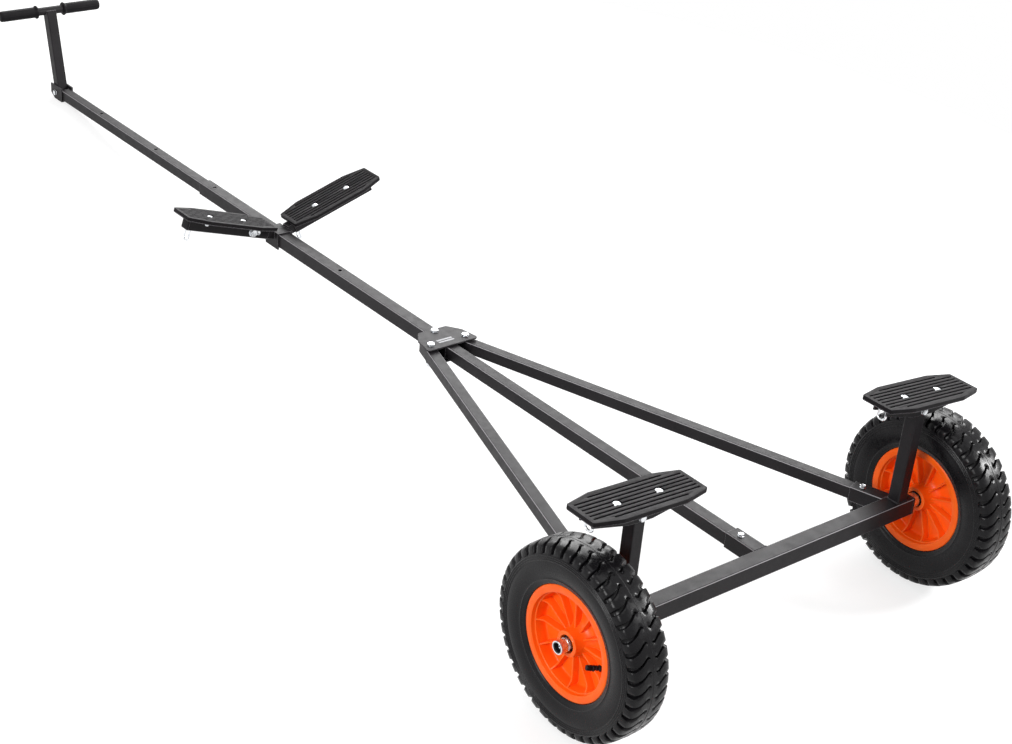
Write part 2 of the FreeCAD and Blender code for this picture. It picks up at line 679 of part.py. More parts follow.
def post(name, side):
    body = node(name + "_post", PARK)
    place = POST_SIDE * side
    half = Z["BraceOuter"] / 2
    inner = half - Z["BraceWall"]
    outer_box = box(-half, half, place - half, place + half)
    inner_box = box(-inner, inner, place - inner, place + inner)
    tube = prism(body, "XY", [outer_box, inner_box], Z["AxleOuter"] / 2, Z["PadPivot"] + Z["PostOver"])
    round_corners(body, tube, 2)
    cut(body, "YZ", [(place, Z["PadPivot"], Z["BoltDiameter"] / 2)], -Z["BraceOuter"], Z["BraceOuter"])
    return body


def frame_bolts():
    body = node("gusset_bolts", PARK)
    places = [(PLATE_FRONT - Z["KeelInset"], as_length(0)), (Z["WingBolt"], Z["WingBoltSide"]),
              (Z["WingBolt"], -Z["WingBoltSide"])]
    top = Z["BigOuter"] / 2 + Z["PlateThick"]
    for across, up in places:
        prism(body, "XY", [hexagon(across, up, Z["PlateBoltAcross"])], top, top + Z["BoltHead"])
    return body


# Pads
def pad_outline(middle=0):
    half = Z["PadLength"] / 2
    wide = Z["PadWidth"] / 2
    end = Z["PadEnd"] / 2
    neck = half - Z["PadTaper"]
    along = [(-half, end), (-neck, wide), (neck, wide), (half, end)]
    right = [(b, as_length(middle) + a) for a, b in along]
    left = [(-b, as_length(middle) + a) for a, b in reversed(along)]
    return right + left


def groove_outlines(middle):
    """The grooves along a pad, the outer ones shorter because the pad tapers."""
    half = Z["PadLength"] / 2
    end = Z["PadEnd"] / 2
    taper = Z["PadTaper"] / (Z["PadWidth"] / 2 - end)
    slots = []
    for index in range(int(Z["PadGrooves"].value)):
        steps = index - (int(Z["PadGrooves"].value) - 1) / 2
        spot = Z["GrooveStep"] * steps
        needed = Z["GrooveStep"] * abs(steps) + Z["GrooveWidth"] / 2 + Z["GrooveInset"]
        reach = half - Z["GrooveInset"]
        if needed.value > end.value:
            reach = half - taper * (needed - end)
        wide = Z["GrooveWidth"] / 2
        slots.append(box(spot - wide, spot + wide, as_length(middle) - reach, as_length(middle) + reach))
    return slots


def pad_plate(label, place, middle, top):
    """A ribbed pad with a recess round each of its two bolts."""
    body = node(label, place)
    prism(body, "XY", [pad_outline(middle)], top - Z["PadThick"], top)
    low = top - Z["GrooveDepth"]
    cut(body, "XY", groove_outlines(middle), low, top)
    spots = [as_length(middle) + Z["PadBolts"] / 2, as_length(middle) - Z["PadBolts"] / 2]
    cut(body, "XY", [(0, spot, Z["PadBoltSeat"] / 2) for spot in spots], low, top)
    return body


def rear_carrier(name, side):
    body = node(name + "_pad_carrier", REAR_PAD[name])
    top = Z["PadHeight"] - Z["PadPivot"] - Z["PadThick"]
    half = Z["CarrierLength"] / 2
    inner = Z["BraceOuter"] / 2 + Z["SlideClear"]
    outer = inner + Z["CarrierWall"]
    low = top - Z["CarrierDeep"]
    end = top - Z["CarrierSlope"]
    flat = Z["BraceOuter"]
    outline = [(-half, top), (-half, end), (-flat, low), (flat, low), (half, end), (half, top)]
    prism(body, "YZ", [outline], -outer, outer)
    cut(body, "YZ", [box(-half * 2, half * 2, low * 2, top - Z["CarrierWall"])], -inner, inner)
    cut(body, "YZ", [(0, 0, Z["BoltDiameter"] / 2 + Z["RunClear"])], -outer * 2, outer * 2)
    return body


def pad_pivot(name, side):
    body = node(name + "_pad_bolt", PARK)
    spot = (POST_SIDE * side, Z["PadPivot"])
    face = Z["BraceOuter"] / 2 + Z["SlideClear"] + Z["CarrierWall"] + Z["RunClear"]
    tip = face + Z["BoltHead"]
    prism(body, "YZ", [(spot[0], spot[1], Z["BoltDiameter"] / 2)], -tip, tip)
    prism(body, "YZ", [hexagon(spot[0], spot[1], Z["BoltAcross"])], -tip, -face)
    prism(body, "YZ", [hexagon(spot[0], spot[1], Z["BoltAcross"])], face, tip)
    return body


def strap_loop(label, place, spot, top):
    """A bent wire loop that hangs below a pad's channel or an arm."""
    body = node(label, place)
    wide = Z["LoopWidth"] / 2
    wire = Z["LoopWire"]
    low = top - Z["LoopDrop"]
    outline = [(-wide, top), (-wide, low), (wide, low), (wide, top),
               (wide - wire, top), (wide - wire, low + wire),
               (wire - wide, low + wire), (wire - wide, top)]
    prism(body, "XZ", [outline], spot - wire / 2, spot + wire / 2)
    return body


def rear_loop(name, side):
    """Each pad has one loop, and the picture shows it at the left end of both."""
    top = Z["PadHeight"] - Z["PadPivot"] - Z["PadThick"] - Z["CarrierWall"]
    spot = Z["CarrierLength"] / 2 - Z["LoopWire"] * 2
    return strap_loop(name + "_pad_loops", REAR_PAD[name], spot, top)


# Bow support
def bow_saddle():
    body = node("bow_saddle", PARK)
    inner = Z["BigOuter"] / 2
    outer = inner + Z["SaddleWall"]
    low = -Z["SaddleDeep"]
    outline = [(-outer, low), (-inner, low), (-inner, inner), (inner, inner), (inner, low),
               (outer, low), (outer, outer), (-outer, outer)]
    half = Z["SaddleLength"] / 2
    prism(body, "YZ", [outline], Z["BowPlace"] - half, Z["BowPlace"] + half)
    for name, side in SIDES:
        add_stub(body, side)
    return body


def add_stub(body, side):
    """The stub that an arm of the bow support slides over."""
    half = Z["ArmOuter"] / 2 - Z["ArmWall"] - Z["SlideClear"]
    rise = sine(Z["BowAngle"])
    run = cosine(Z["BowAngle"])
    base = Z["BowBase"]
    start = Z["BigOuter"] / 2 + Z["SaddleWall"] / 2
    low_y = start
    low_z = base + start * rise / run
    points = [(low_y, low_z - half / run), (Z["StubEnd"] * run + half * rise,
              base + Z["StubEnd"] * rise - half * run),
              (Z["StubEnd"] * run - half * rise, base + Z["StubEnd"] * rise + half * run),
              (low_y, low_z + half / run)]
    points = [(a * side, b) for a, b in points]
    prism(body, "YZ", [points], Z["BowPlace"] - half, Z["BowPlace"] + half)


def bow_arm(name, side):
    body = node(name + "_bow_arm", BOW[name])
    hollow = Z["ArmOuter"] - Z["ArmWall"] * 2
    levels = ordered(side, Z["ArmStart"], Z["ArmEnd"])
    tube = prism(body, "XZ", [square(Z["ArmOuter"]), square(hollow)], *levels)
    round_corners(body, tube, 1)
    return body


def bow_pad(name, side):
    top = Z["ArmOuter"] / 2 + Z["PadThick"]
    return pad_plate(name + "_bow_pad", BOW[name], Z["BowPadPlace"] * side, top)


def bow_loop(name, side):
    spot = Z["ArmEnd"] - Z["LoopWire"] * 2
    if side < 0:
        spot = -Z["ArmStart"] - Z["LoopWire"] * 2
    return strap_loop(name + "_bow_loop", BOW[name], spot, -Z["ArmOuter"] / 2)


# Handle
def handle_fork():
    body = node("handle_fork", PARK)
    inner = Z["SmallOuter"] / 2 + Z["SlideClear"]
    outer = inner + Z["ForkWall"]
    low = -NOSE_DROP
    rear = FRONT_END - Z["ForkLap"]
    outline = [(rear, low), (FORK_HEEL, low), (FORK_NOSE, -Z["ForkLip"]),
               (FORK_NOSE, Z["ForkTop"]), (rear, Z["ForkTop"])]
    prism(body, "XZ", [outline], -outer, outer)
    cut(body, "XZ", [box(rear - outer, FORK_NOSE + outer, -Z["SmallOuter"] / 2, Z["ForkTop"] * 2)],
        -inner, inner)
    cut(body, "XZ", [box(FRONT_END, FORK_NOSE + outer, low * 2, Z["ForkTop"])], -inner, inner)
    cut(body, "XZ", [(PIVOT, 0, Z["BoltDiameter"] / 2)], -outer * 2, outer * 2)
    return body


def handle_pin():
    body = node("handle_bolt", PARK)
    inner = Z["SmallOuter"] / 2 + Z["SlideClear"] + Z["ForkWall"]
    tip = inner + Z["BoltHead"]
    spot = (PIVOT, as_length(0))
    prism(body, "XZ", [(spot[0], 0, Z["BoltDiameter"] / 2)], -tip, tip)
    prism(body, "XZ", [hexagon(spot[0], spot[1], Z["BoltAcross"])], inner, tip)
    prism(body, "XZ", [hexagon(spot[0], spot[1], Z["BoltAcross"])], -tip, -inner)
    return body


def handle_post():
    body = node("handle_tee", HANDLE)
    post_tube = prism(body, "XY", [square(Z["SmallOuter"])], -Z["HandleFoot"], Z["HandleReach"])
    round_corners(body, post_tube, 2)
    cut(body, "XZ", [(0, 0, Z["BoltDiameter"] / 2 + Z["RunClear"])],
        -Z["SmallOuter"], Z["SmallOuter"])
    prism(body, "XZ", [(0, Z["HandleReach"], Z["BarDiameter"] / 2)], -Z["BarHalf"], Z["BarHalf"])
    return body


def grip(name, side):
    body = node(name + "_grip", HANDLE)
    bar = (0, Z["HandleReach"], Z["BarDiameter"] / 2)
    flange = (0, Z["HandleReach"], Z["FlangeDiameter"] / 2)
    rubber = (0, Z["HandleReach"], Z["GripDiameter"] / 2)
    prism(body, "XZ", [flange, bar], *ordered(side, Z["GripInner"] - Z["FlangeThick"], Z["GripInner"]))
    prism(body, "XZ", [rubber, bar], *ordered(side, Z["GripInner"], Z["BarHalf"]))
    prism(body, "XZ", [rubber], *ordered(side, Z["BarHalf"], Z["GripOuter"]))
    return body


# All pieces
TYRE_BLANK = tyre_blank()


def build_all():
    pieces = [cross_axle(), rear_socket(), rear_tube(), middle_tube(), front_tube()]
    half = Z["BigOuter"] / 2
    pieces.append(gusset("upper_gusset", half, half + Z["PlateThick"]))
    pieces.append(gusset("lower_gusset", -half - Z["PlateThick"], -half, Z["LowerInset"]))
    pieces += [frame_bolts(), bow_saddle(), handle_fork(), handle_pin(), handle_post()]
    for name, side in SIDES:
        pieces += [spindle(name, side), wheel_nut(name, side), tyre(name, side), rim(name, side),
                   bearings(name, side), valve(name, side), brace(name, side),
                   brace_socket(name, side), post(name, side), rear_carrier(name, side),
                   pad_pivot(name, side), rear_loop(name, side), bow_arm(name, side),
                   bow_pad(name, side), bow_loop(name, side), grip(name, side)]
        pieces.append(pad_plate(name + "_rear_pad", REAR_PAD[name], 0, Z["PadHeight"] - Z["PadPivot"]))
    return pieces


def check_all():
    for item in doc.Objects:
        state = [word for word in item.State if word in ("Invalid", "Error")]
        if state:
            raise RuntimeError("%s is %s" % (item.Label, state))


def export_all(pieces):
    os.makedirs("parts", exist_ok=True)
    for body in pieces:
        if body.Shape.isNull() or not body.Shape.isValid():
            raise RuntimeError(body.Label + " has no valid shape")
        solids = len(body.Shape.Solids)
        print("%-20s %d solid(s), %.0f mm3" % (body.Label, solids, body.Shape.Volume))
        body.Shape.exportStep("parts/%s.step" % body.Label)


pieces = build_all()
doc.recompute()
check_all()
export_all(pieces)
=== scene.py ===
# %% [markdown]
# A hand-pulled launching trolley for a small boat is dressed here on top of its imported model.
# The imported model gives every part its place, so it is read first.

# %% Load the imported model
import json
import math

import bmesh
import bpy
from mathutils import Matrix, Vector


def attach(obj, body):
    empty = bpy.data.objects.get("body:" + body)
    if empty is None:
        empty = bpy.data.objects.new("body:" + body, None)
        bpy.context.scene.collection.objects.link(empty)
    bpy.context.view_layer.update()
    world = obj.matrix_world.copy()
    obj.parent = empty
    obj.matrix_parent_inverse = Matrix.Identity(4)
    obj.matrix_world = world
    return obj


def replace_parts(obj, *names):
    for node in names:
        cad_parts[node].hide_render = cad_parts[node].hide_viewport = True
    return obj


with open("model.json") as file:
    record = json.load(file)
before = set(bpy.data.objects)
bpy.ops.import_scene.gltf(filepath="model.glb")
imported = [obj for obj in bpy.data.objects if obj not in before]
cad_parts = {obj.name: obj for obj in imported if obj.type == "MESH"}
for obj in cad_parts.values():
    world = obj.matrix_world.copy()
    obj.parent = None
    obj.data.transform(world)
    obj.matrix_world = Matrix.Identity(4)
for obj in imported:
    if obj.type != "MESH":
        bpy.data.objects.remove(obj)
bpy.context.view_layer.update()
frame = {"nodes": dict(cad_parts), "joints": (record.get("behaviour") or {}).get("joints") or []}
print("CAD nodes:", len(frame["nodes"]))

# %% [markdown]
# The drawbar leans down to the floor, while a maker thinks of it as level. So most pieces are
# placed from the axle's centre with x along the drawbar, y to the left and z square to both.
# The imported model's hinges say where that is.

# %% Places that come from the hinges
MM = 0.001
JOINTS = {joint["name"]: joint for joint in frame["joints"]}
SIDES = {"left": 1, "right": -1}


def joint_place(name):
    return Vector(JOINTS[name]["pos_m"])


def columns(across, along, up, origin):
    """A placing matrix from three directions and an origin."""
    turn = Matrix((across, along, up)).transposed()
    return Matrix.Translation(origin) @ turn.to_4x4()


AXLE = (joint_place("left_wheel_spin") + joint_place("right_wheel_spin")) / 2
FORWARD = (joint_place("handle_tilt") - AXLE).normalized()
LEFT = Vector((0, 1, 0))
RIG = columns(FORWARD, LEFT, FORWARD.cross(LEFT), AXLE)
print("Drawbar slope in degrees:", round(math.degrees(math.asin(-FORWARD.z)), 2))


def at(x, y, z, base=RIG):
    """A place in millimetres from the axle's centre, or from another base."""
    return base @ Matrix.Translation(Vector((x, y, z)) * MM)


def at_hinge(name):
    """The drawbar's own directions, standing at a hinge."""
    return columns(*RIG.to_3x3().transposed(), joint_place(name))


def turned(degrees, axis):
    return Matrix.Rotation(math.radians(degrees), 4, axis)


def wheel_base(name):
    """z out along the spindle and y up, so angles run as they are seen from outside."""
    side = SIDES[name]
    return columns(Vector((-side, 0, 0)), Vector((0, 0, 1)), Vector((0, side, 0)),
                   joint_place(name + "_wheel_spin"))


WHEEL = {name: wheel_base(name) for name in SIDES}

# %% [markdown]
# Every mesh is built from rings of points joined by quads, because turned, drawn and moulded
# parts are all a section that is carried along or round something. Small functions do that, and
# piece makes the object and lets it ride on the body that carries it.

# %% Mesh helpers
# In degrees: faces that meet more sharply are shaded apart, or have their edge broken.
CREASE_ANGLE = 34
BREAK_ANGLE = 30


def skin(form, rings, closed=False):
    """Joins rings of points with quads; closed joins the last ring to the first as well."""
    rows = [[form.verts.new(Vector(point) * MM) for point in ring] for ring in rings]
    following = rows[1:] + rows[:1] if closed else rows[1:]
    for near, far in zip(rows, following):
        for index, vert in enumerate(near):
            after = (index + 1) % len(near)
            form.faces.new((vert, near[after], far[after], far[index]))
    return rows


def cap(form, row):
    form.faces.new(row)


def circle(radius, height, steps, start=0.0):
    angles = [start + 2 * math.pi * index / steps for index in range(steps)]
    return [(radius * math.cos(a), radius * math.sin(a), height) for a in angles]


def lathe(form, section, steps, closed=True):
    """Turns a section of (radius, height) points about z."""
    return skin(form, [circle(radius, height, steps) for radius, height in section], closed)


def mesh_of(name, form):
    """The mesh of a form, which is then let go."""
    mesh = bpy.data.meshes.new(name)
    form.to_mesh(mesh)
    form.free()
    return mesh


def stand(name, data, place=Matrix()):
    """Makes an object of some data, standing at its place."""
    item = bpy.data.objects.new(name, data)
    bpy.context.scene.collection.objects.link(item)
    item.matrix_world = place
    return item


def piece(name, form, material, body, place, crease=CREASE_ANGLE):
    """Makes an object from a form, at its place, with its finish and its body."""
    bmesh.ops.recalc_face_normals(form, faces=form.faces)
    mesh = mesh_of(name, form)
    mesh.shade_smooth()
    mesh.set_sharp_from_angle(angle=math.radians(crease))
    mesh.materials.append(material)
    mesh.transform(place.to_3x3().to_4x4())
    item = stand(name, mesh, Matrix.Translation(place.to_translation()))
    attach(item, body)
    return item


def soften_edges(item, width):
    """Breaks every sharp edge of a piece by a small round."""
    rounding = item.modifiers.new("broken edges", "BEVEL")
    rounding.width = width * MM
    rounding.segments = 2
    rounding.limit_method = "ANGLE"
    rounding.angle_limit = math.radians(BREAK_ANGLE)


def rounded(corners, radius, steps=5):
    """An outline with each corner turned into an arc."""
    outline = []
    for index, corner in enumerate(corners):
        here = Vector(corner)
        back = (Vector(corners[index - 1]) - here).normalized()
        ahead = (Vector(corners[(index + 1) % len(corners)]) - here).normalized()
        half = back.angle(ahead) / 2
        centre = here + (back + ahead).normalized() * radius / math.sin(half)
        first = here + back * radius / math.tan(half) - centre
        last = here + ahead * radius / math.tan(half) - centre
        sweep = first.angle_signed(last)
        for step in range(steps + 1):
            arm = first.copy()
            arm.rotate(Matrix.Rotation(-sweep * step / steps, 2))
            outline.append(tuple(centre + arm))
    return outline


def rectangle(half_x, half_y, middle=0.0):
    """The corners of a rectangle about the origin, or about a middle along x."""
    return [(middle - half_x, -half_y), (middle + half_x, -half_y), (middle + half_x, half_y),
            (middle - half_x, half_y)]


def slab(form, outline, low, high):
    """A plate of any outline between two heights."""
    rows = skin(form, [[(x, y, z) for x, y in outline] for z in (low, high)])
    cap(form, rows[0][::-1])
    cap(form, rows[1])


print("Mesh helpers ready")

# %% [markdown]
# Finishes are built from nodes, with every pattern sized from a real length. The noise texture
# counts features to the metre, so a grain of so many millimetres becomes a thousand over it.
# Colours are the sRGB values a paint card would give, turned to linear.

# %% Colour and node helpers
# The Mix node's sockets for colours come after those for numbers and for vectors.
MIX_A, MIX_B, MIXED = 6, 7, 2


def linear(code):
    """A colour written as #RRGGBB, as linear red, green, blue and alpha."""
    parts = [int(code[index:index + 2], 16) / 255 for index in (1, 3, 5)]
    return tuple(p / 12.92 if p <= 0.04045 else ((p + 0.055) / 1.055) ** 2.4 for p in parts) + (1.0,)


def per_metre(size):
    """How many features of a size in millimetres go in a metre."""
    return 1000 / size


def add(tree, kind, settings=None, values=None, links=None):
    """Adds a node, sets its own settings and its sockets' values, and links its inputs."""
    item = tree.nodes.new(kind)
    for name, value in (settings or {}).items():
        setattr(item, name, value)
    for name, value in (values or {}).items():
        item.inputs[name].default_value = value
    for name, source in (links or {}).items():
        tree.links.new(source, item.inputs[name])
    return item


def cleared(owner):
    """The node tree of a material or a world, emptied."""
    owner.use_nodes = True
    owner.node_tree.nodes.clear()
    return owner.node_tree


def new_finish(name, values):
    """An empty finish with its shader, output and object coordinates."""
    material = bpy.data.materials.new(name)
    tree = cleared(material)
    shader = add(tree, "ShaderNodeBsdfPrincipled", values=values)
    add(tree, "ShaderNodeOutputMaterial", links={"Surface": shader.outputs[0]})
    where = add(tree, "ShaderNodeTexCoord").outputs["Object"]
    return material, tree, shader, where


def clouds(tree, where, size, dark, light, detail=3.0):
    """Soft patches of two colours, a size in millimetres across."""
    noise = add(tree, "ShaderNodeTexNoise", values={"Scale": per_metre(size), "Detail": detail},
                links={"Vector": where})
    sharp = add(tree, "ShaderNodeMapRange", values={"From Min": 0.3, "From Max": 0.7},
                links={"Value": noise.outputs["Fac"]})
    both = add(tree, "ShaderNodeMix", {"data_type": "RGBA"},
               {MIX_A: linear(dark), MIX_B: linear(light)}, {0: sharp.outputs["Result"]})
    return both.outputs[MIXED]


def patches(tree, where, size, low, high, start=0.3, end=0.7):
    """A value that wanders between two numbers in patches, such as a roughness."""
    noise = add(tree, "ShaderNodeTexNoise", values={"Scale": per_metre(size), "Detail": 4.0,
                                                    "Roughness": 0.6}, links={"Vector": where})
    return add(tree, "ShaderNodeMapRange", values={"From Min": start, "From Max": end,
                                                   "To Min": low, "To Max": high},
               links={"Value": noise.outputs["Fac"]}).outputs["Result"]


def grained(tree, where, size, depth, strength, normal=None):
    """A grain of a size and a depth in millimetres, over a normal if there is one."""
    noise = add(tree, "ShaderNodeTexNoise", values={"Scale": per_metre(size), "Detail": 2.0},
                links={"Vector": where})
    links = {"Height": noise.outputs["Fac"]}
    if normal:
        links["Normal"] = normal
    return add(tree, "ShaderNodeBump", values={"Strength": strength, "Distance": depth * MM},
               links=links).outputs["Normal"]


# A mask for the highlight painted along sharp edges, where a paler colour stands in for light.
def edge_highlight(tree, radius):
    """1 near a sharp edge and 0 on flat faces, with the normal rounded over that edge."""
    rounding = add(tree, "ShaderNodeBevel", {"samples": 4}, {"Radius": radius * MM})
    true = add(tree, "ShaderNodeNewGeometry").outputs["Normal"]
    level = add(tree, "ShaderNodeVectorMath", {"operation": "DOT_PRODUCT"},
                links={0: rounding.outputs[0], 1: true}).outputs["Value"]
    near = add(tree, "ShaderNodeMapRange", values={"From Min": 0.86, "From Max": 0.995,
                                                   "To Min": 1.0, "To Max": 0.0}, links={"Value": level})
    return near.outputs["Result"], rounding.outputs[0]


# A mask for the highlight painted along the rounded corners of square tube.
def corner_highlight(tree):
    """1 along the rounded corners between level and upright faces, and 0 on both."""
    normal = add(tree, "ShaderNodeTexCoord").outputs["Normal"]
    rise = add(tree, "ShaderNodeSeparateXYZ", links={0: normal}).outputs["Z"]
    square = add(tree, "ShaderNodeMath", {"operation": "MULTIPLY"}, links={0: rise, 1: rise}).outputs[0]
    rest = add(tree, "ShaderNodeMath", {"operation": "SUBTRACT"}, {0: 1.0}, {1: square}).outputs[0]
    both = add(tree, "ShaderNodeMath", {"operation": "MULTIPLY"}, links={0: square, 1: rest}).outputs[0]
    return add(tree, "ShaderNodeMapRange", values={"From Min": 0.16, "From Max": 0.24},
               links={"Value": both}).outputs["Result"]


# Used for real specks and for highlights painted along edges and corners.
def laid_over(tree, base, factor, colour, share=1.0):
    """A colour laid over another where a factor says, no more than its share."""
    part = add(tree, "ShaderNodeMath", {"operation": "MULTIPLY", "use_clamp": True}, {1: share},
               {0: factor})
    both = add(tree, "ShaderNodeMix", {"data_type": "RGBA"}, {MIX_B: linear(colour)},
               {0: part.outputs[0], MIX_A: base})
    return both.outputs[MIXED]


def wire(tree, shader, **sockets):
    """Links finished values to the shader's sockets."""
    for name, source in sockets.items():
        tree.links.new(source, shader.inputs[name.replace("_", " ")])


print("Node helpers ready")

# %% [markdown]
# The frame is square steel tube with a charcoal powder coat, sprayed dry and baked. Baking
# leaves a faint orange peel of about 1.5 mm and a satin skin with fine lighter specks. A paler
# colour is painted along edges as a highlight, on square tube also along the rounded corners.

# %% Powder coat
def powder_coat(name, corner_highlight_share):
    finish, tree, shader, where = new_finish(name, {"IOR": 1.5, "Specular IOR Level": 0.13})
    edge, round_normal = edge_highlight(tree, 1.5)
    base = clouds(tree, where, 60, "#161416", "#1F1D1F")
    base = laid_over(tree, base, patches(tree, where, 2.2, 0.0, 1.0, 0.45, 0.75), "#343235", 0.4)
    # A paler colour painted along sharp edges as a highlight.
    base = laid_over(tree, base, edge, "#8C898D", 0.9)
    # A pale highlight painted along the rounded corners, on square tube only.
    base = laid_over(tree, base, corner_highlight(tree), "#C4C1C5", corner_highlight_share)
    wire(tree, shader, Base_Color=base, Roughness=patches(tree, where, 18, 0.38, 0.5),
         Normal=grained(tree, where, 1.5, 0.08, 0.5, round_normal))
    return finish


POWDER = powder_coat("charcoal powder coat", 0.0)
TUBE_POWDER = powder_coat("charcoal powder coat on square tube", 0.7)
print(POWDER.name, "and", TUBE_POWDER.name)

# %% [markdown]
# Rubber and plastic parts take their skin from a mould, so one recipe serves them all: clouds of
# two close colours, a gloss that comes and goes in patches, a fine grain and a paler colour painted
# along the edges as a highlight. Tyre rubber is vulcanised in a polished steel mould. It is black
# with a cool tint and has some gloss.

# %% Moulded finishes and tyre rubber
def moulded(name, values, tint, edge_light, gloss, grain):
    """tint: cloud size and colours; edge_light: radius, colour and share of the highlight painted
    along the edges; gloss: patch size and roughness from and to; grain: size, depth and strength.
    Sizes are in millimetres."""
    finish, tree, shader, where = new_finish(name, values)
    radius, edge_light_colour, share = edge_light
    edge, round_normal = edge_highlight(tree, radius)
    # The clouds get a highlight painted along the edges.
    wire(tree, shader, Base_Color=laid_over(tree, clouds(tree, where, *tint), edge, edge_light_colour, share),
         Roughness=patches(tree, where, *gloss), Normal=grained(tree, where, *grain, round_normal))
    return finish


# The third group is a highlight painted along the edges.
RUBBER = moulded("vulcanised tyre rubber", {"IOR": 1.5, "Specular IOR Level": 0.16},
                 (45, "#0C0B0D", "#151416"), (0.5, "#3A393D", 0.5), (9, 0.2, 0.34), (0.9, 0.1, 0.45))
print(RUBBER.name)

# %% [markdown]
# The rims are injection moulded in orange polypropylene. The colour goes right through, light
# scatters a little below the skin, and flow leaves faint cloudy streaks and a satin gloss.

# %% Orange plastic
# The fourth group is a highlight painted along the edges, as on the rim's lip.
ORANGE = moulded("moulded orange polypropylene",
                 {"IOR": 1.49, "Specular IOR Level": 0.24, "Subsurface Weight": 0.1,
                  "Subsurface Radius": (0.004, 0.0014, 0.0005), "Subsurface Scale": 1.0},
                 (35, "#FC5B09", "#FF6813"), (1.0, "#FF9050", 0.8), (6, 0.28, 0.42), (1.2, 0.05, 0.4))
print(ORANGE.name)

# %% [markdown]
# The pads are dense black rubber. The grips are softer with a deeper grain, and the caps and seals
# are nylon with more gloss. All of them have a highlight painted along their edges.

# %% Pad rubber, grip rubber and nylon
DULL = {"IOR": 1.5, "Specular IOR Level": 0.08}
# Radius, colour and share of the highlight painted along the edges.
DULL_EDGE_LIGHT = (0.8, "#626065", 0.6)
PAD_RUBBER = moulded("ribbed pad rubber", DULL, (30, "#110F11", "#191719"), DULL_EDGE_LIGHT,
                     (14, 0.46, 0.58), (0.8, 0.08, 0.6))
GRIP_RUBBER = moulded("soft grip rubber", DULL, (30, "#100F11", "#181618"), DULL_EDGE_LIGHT,
                      (14, 0.42, 0.56), (0.7, 0.12, 0.6))
NYLON = moulded("black nylon", DULL, (30, "#111012", "#19171A"), DULL_EDGE_LIGHT,
                (14, 0.35, 0.48), (0.5, 0.03, 0.6))
print([finish.name for finish in (PAD_RUBBER, GRIP_RUBBER, NYLON)])

# %% [markdown]
# Bolts, nuts, wheel spindles and strap loops are steel with a bright zinc plate. Barrel plating
# tumbles them together, which leaves a cool sheen with soft clouds and a very fine grain.

# %% Zinc plate
ZINC, tree, shader, where = new_finish("bright zinc plate", {"Metallic": 1.0})
wire(tree, shader, Base_Color=clouds(tree, where, 8, "#C9CCD1", "#E8EAEC", 4.0),
     Roughness=patches(tree, where, 3, 0.2, 0.36), Normal=grained(tree, where, 0.5, 0.02, 0.4))
print("Finishes:", [m.name for m in bpy.data.materials if m.use_nodes])

# %% [markdown]
# The photograph was taken from behind the left wheel and above, with a long lens. The camera
# stands where lines drawn along the tubes and round both rims put it, in millimetres from the
# axle's centre. Its lens is shifted a little because the picture was cropped off centre.

# %% Camera
CAMERA_PLACE = (-1902.6, 2346.8, 1911.9)
CAMERA_AIM = (705.3, 165.2, 0.0)
CAMERA_ROLL = 4.68
CAMERA_LENS = 65.2
CAMERA_SHIFT = (0.0309, 0.0530)
CAMERA_FAR = 60  # metres
lens = bpy.data.cameras.new("photographer")
lens.lens = CAMERA_LENS
lens.shift_x, lens.shift_y = CAMERA_SHIFT
lens.clip_end = CAMERA_FAR
back = (Vector(CAMERA_PLACE) - Vector(CAMERA_AIM)).normalized()
across = Vector((0, 0, 1)).cross(back).normalized()
level = columns(across, back.cross(across), back, Vector(CAMERA_PLACE) * MM)
camera = stand("photographer", lens, RIG @ level @ turned(CAMERA_ROLL, "Z"))
bpy.context.scene.camera = camera
print("Camera at", [round(v, 3) for v in camera.matrix_world.translation])

# %% [markdown]
# A studio floor is pale and softly lit. One light hangs overhead and one stands to the left,
# where it reaches the rims. A wide one in front lays a sheen on upward faces, a smaller one at
# the right does that for the axle, and one behind picks out the tread. The world fills the
# shadows, and Light Path alone lets the camera and the reflections see a white ground, so the
# object gets no extra light for that.

# %% Floor, world and lights
WHITE = (1.0, 1.0, 1.0, 1.0)
PAPER = (0.36, 0.36, 0.36, 1.0)
WORLD_FILL = 0.27
FLOOR_RADIUS = 2700.0
FLOOR_THICK = 0.5
FLOOR_GLOW = 0.73
# Where each lamp stands, what it faces and its diameter, all in metres, and its watts.
LAMPS = {"overhead": ((-0.4, 0.3, 4.2), (0, 0, 0), 3.6, 50),
         "left side": ((-1.6, 6.4, 3.0), (-1.2, 0.2, 0.1), 3.0, 335),
         "front sheen": ((3.5, -3.0, 2.6), (0, 0, 0.1), 4.2, 230),
         "axle sheen": ((0.55, -2.9, 2.6), (-1.45, 0, 0.2), 1.8, 70),
         "tread glint": ((-4.1, -4.45, 3.5), (-1.55, 0, 0.33), 1.3, 340)}


def pale_rays(tree):
    """1 for rays that should meet a white background, 0 for those that light the object."""
    path = add(tree, "ShaderNodeLightPath").outputs
    seen = add(tree, "ShaderNodeMath", {"operation": "MAXIMUM"},
               links={0: path["Is Camera Ray"], 1: path["Is Glossy Ray"]}).outputs[0]
    return add(tree, "ShaderNodeMath", {"operation": "MAXIMUM"},
               links={0: seen, 1: path["Is Transmission Ray"]}).outputs[0]


def studio_world():
    world = bpy.data.worlds.new("studio")
    bpy.context.scene.world = world
    tree = cleared(world)
    dim = add(tree, "ShaderNodeBackground", values={"Color": WHITE, "Strength": WORLD_FILL})
    white = add(tree, "ShaderNodeBackground", values={"Color": WHITE, "Strength": 1.0})
    mix = add(tree, "ShaderNodeMixShader",
              links={0: pale_rays(tree), 1: dim.outputs[0], 2: white.outputs[0]})
    add(tree, "ShaderNodeOutputWorld", links={"Surface": mix.outputs[0]})


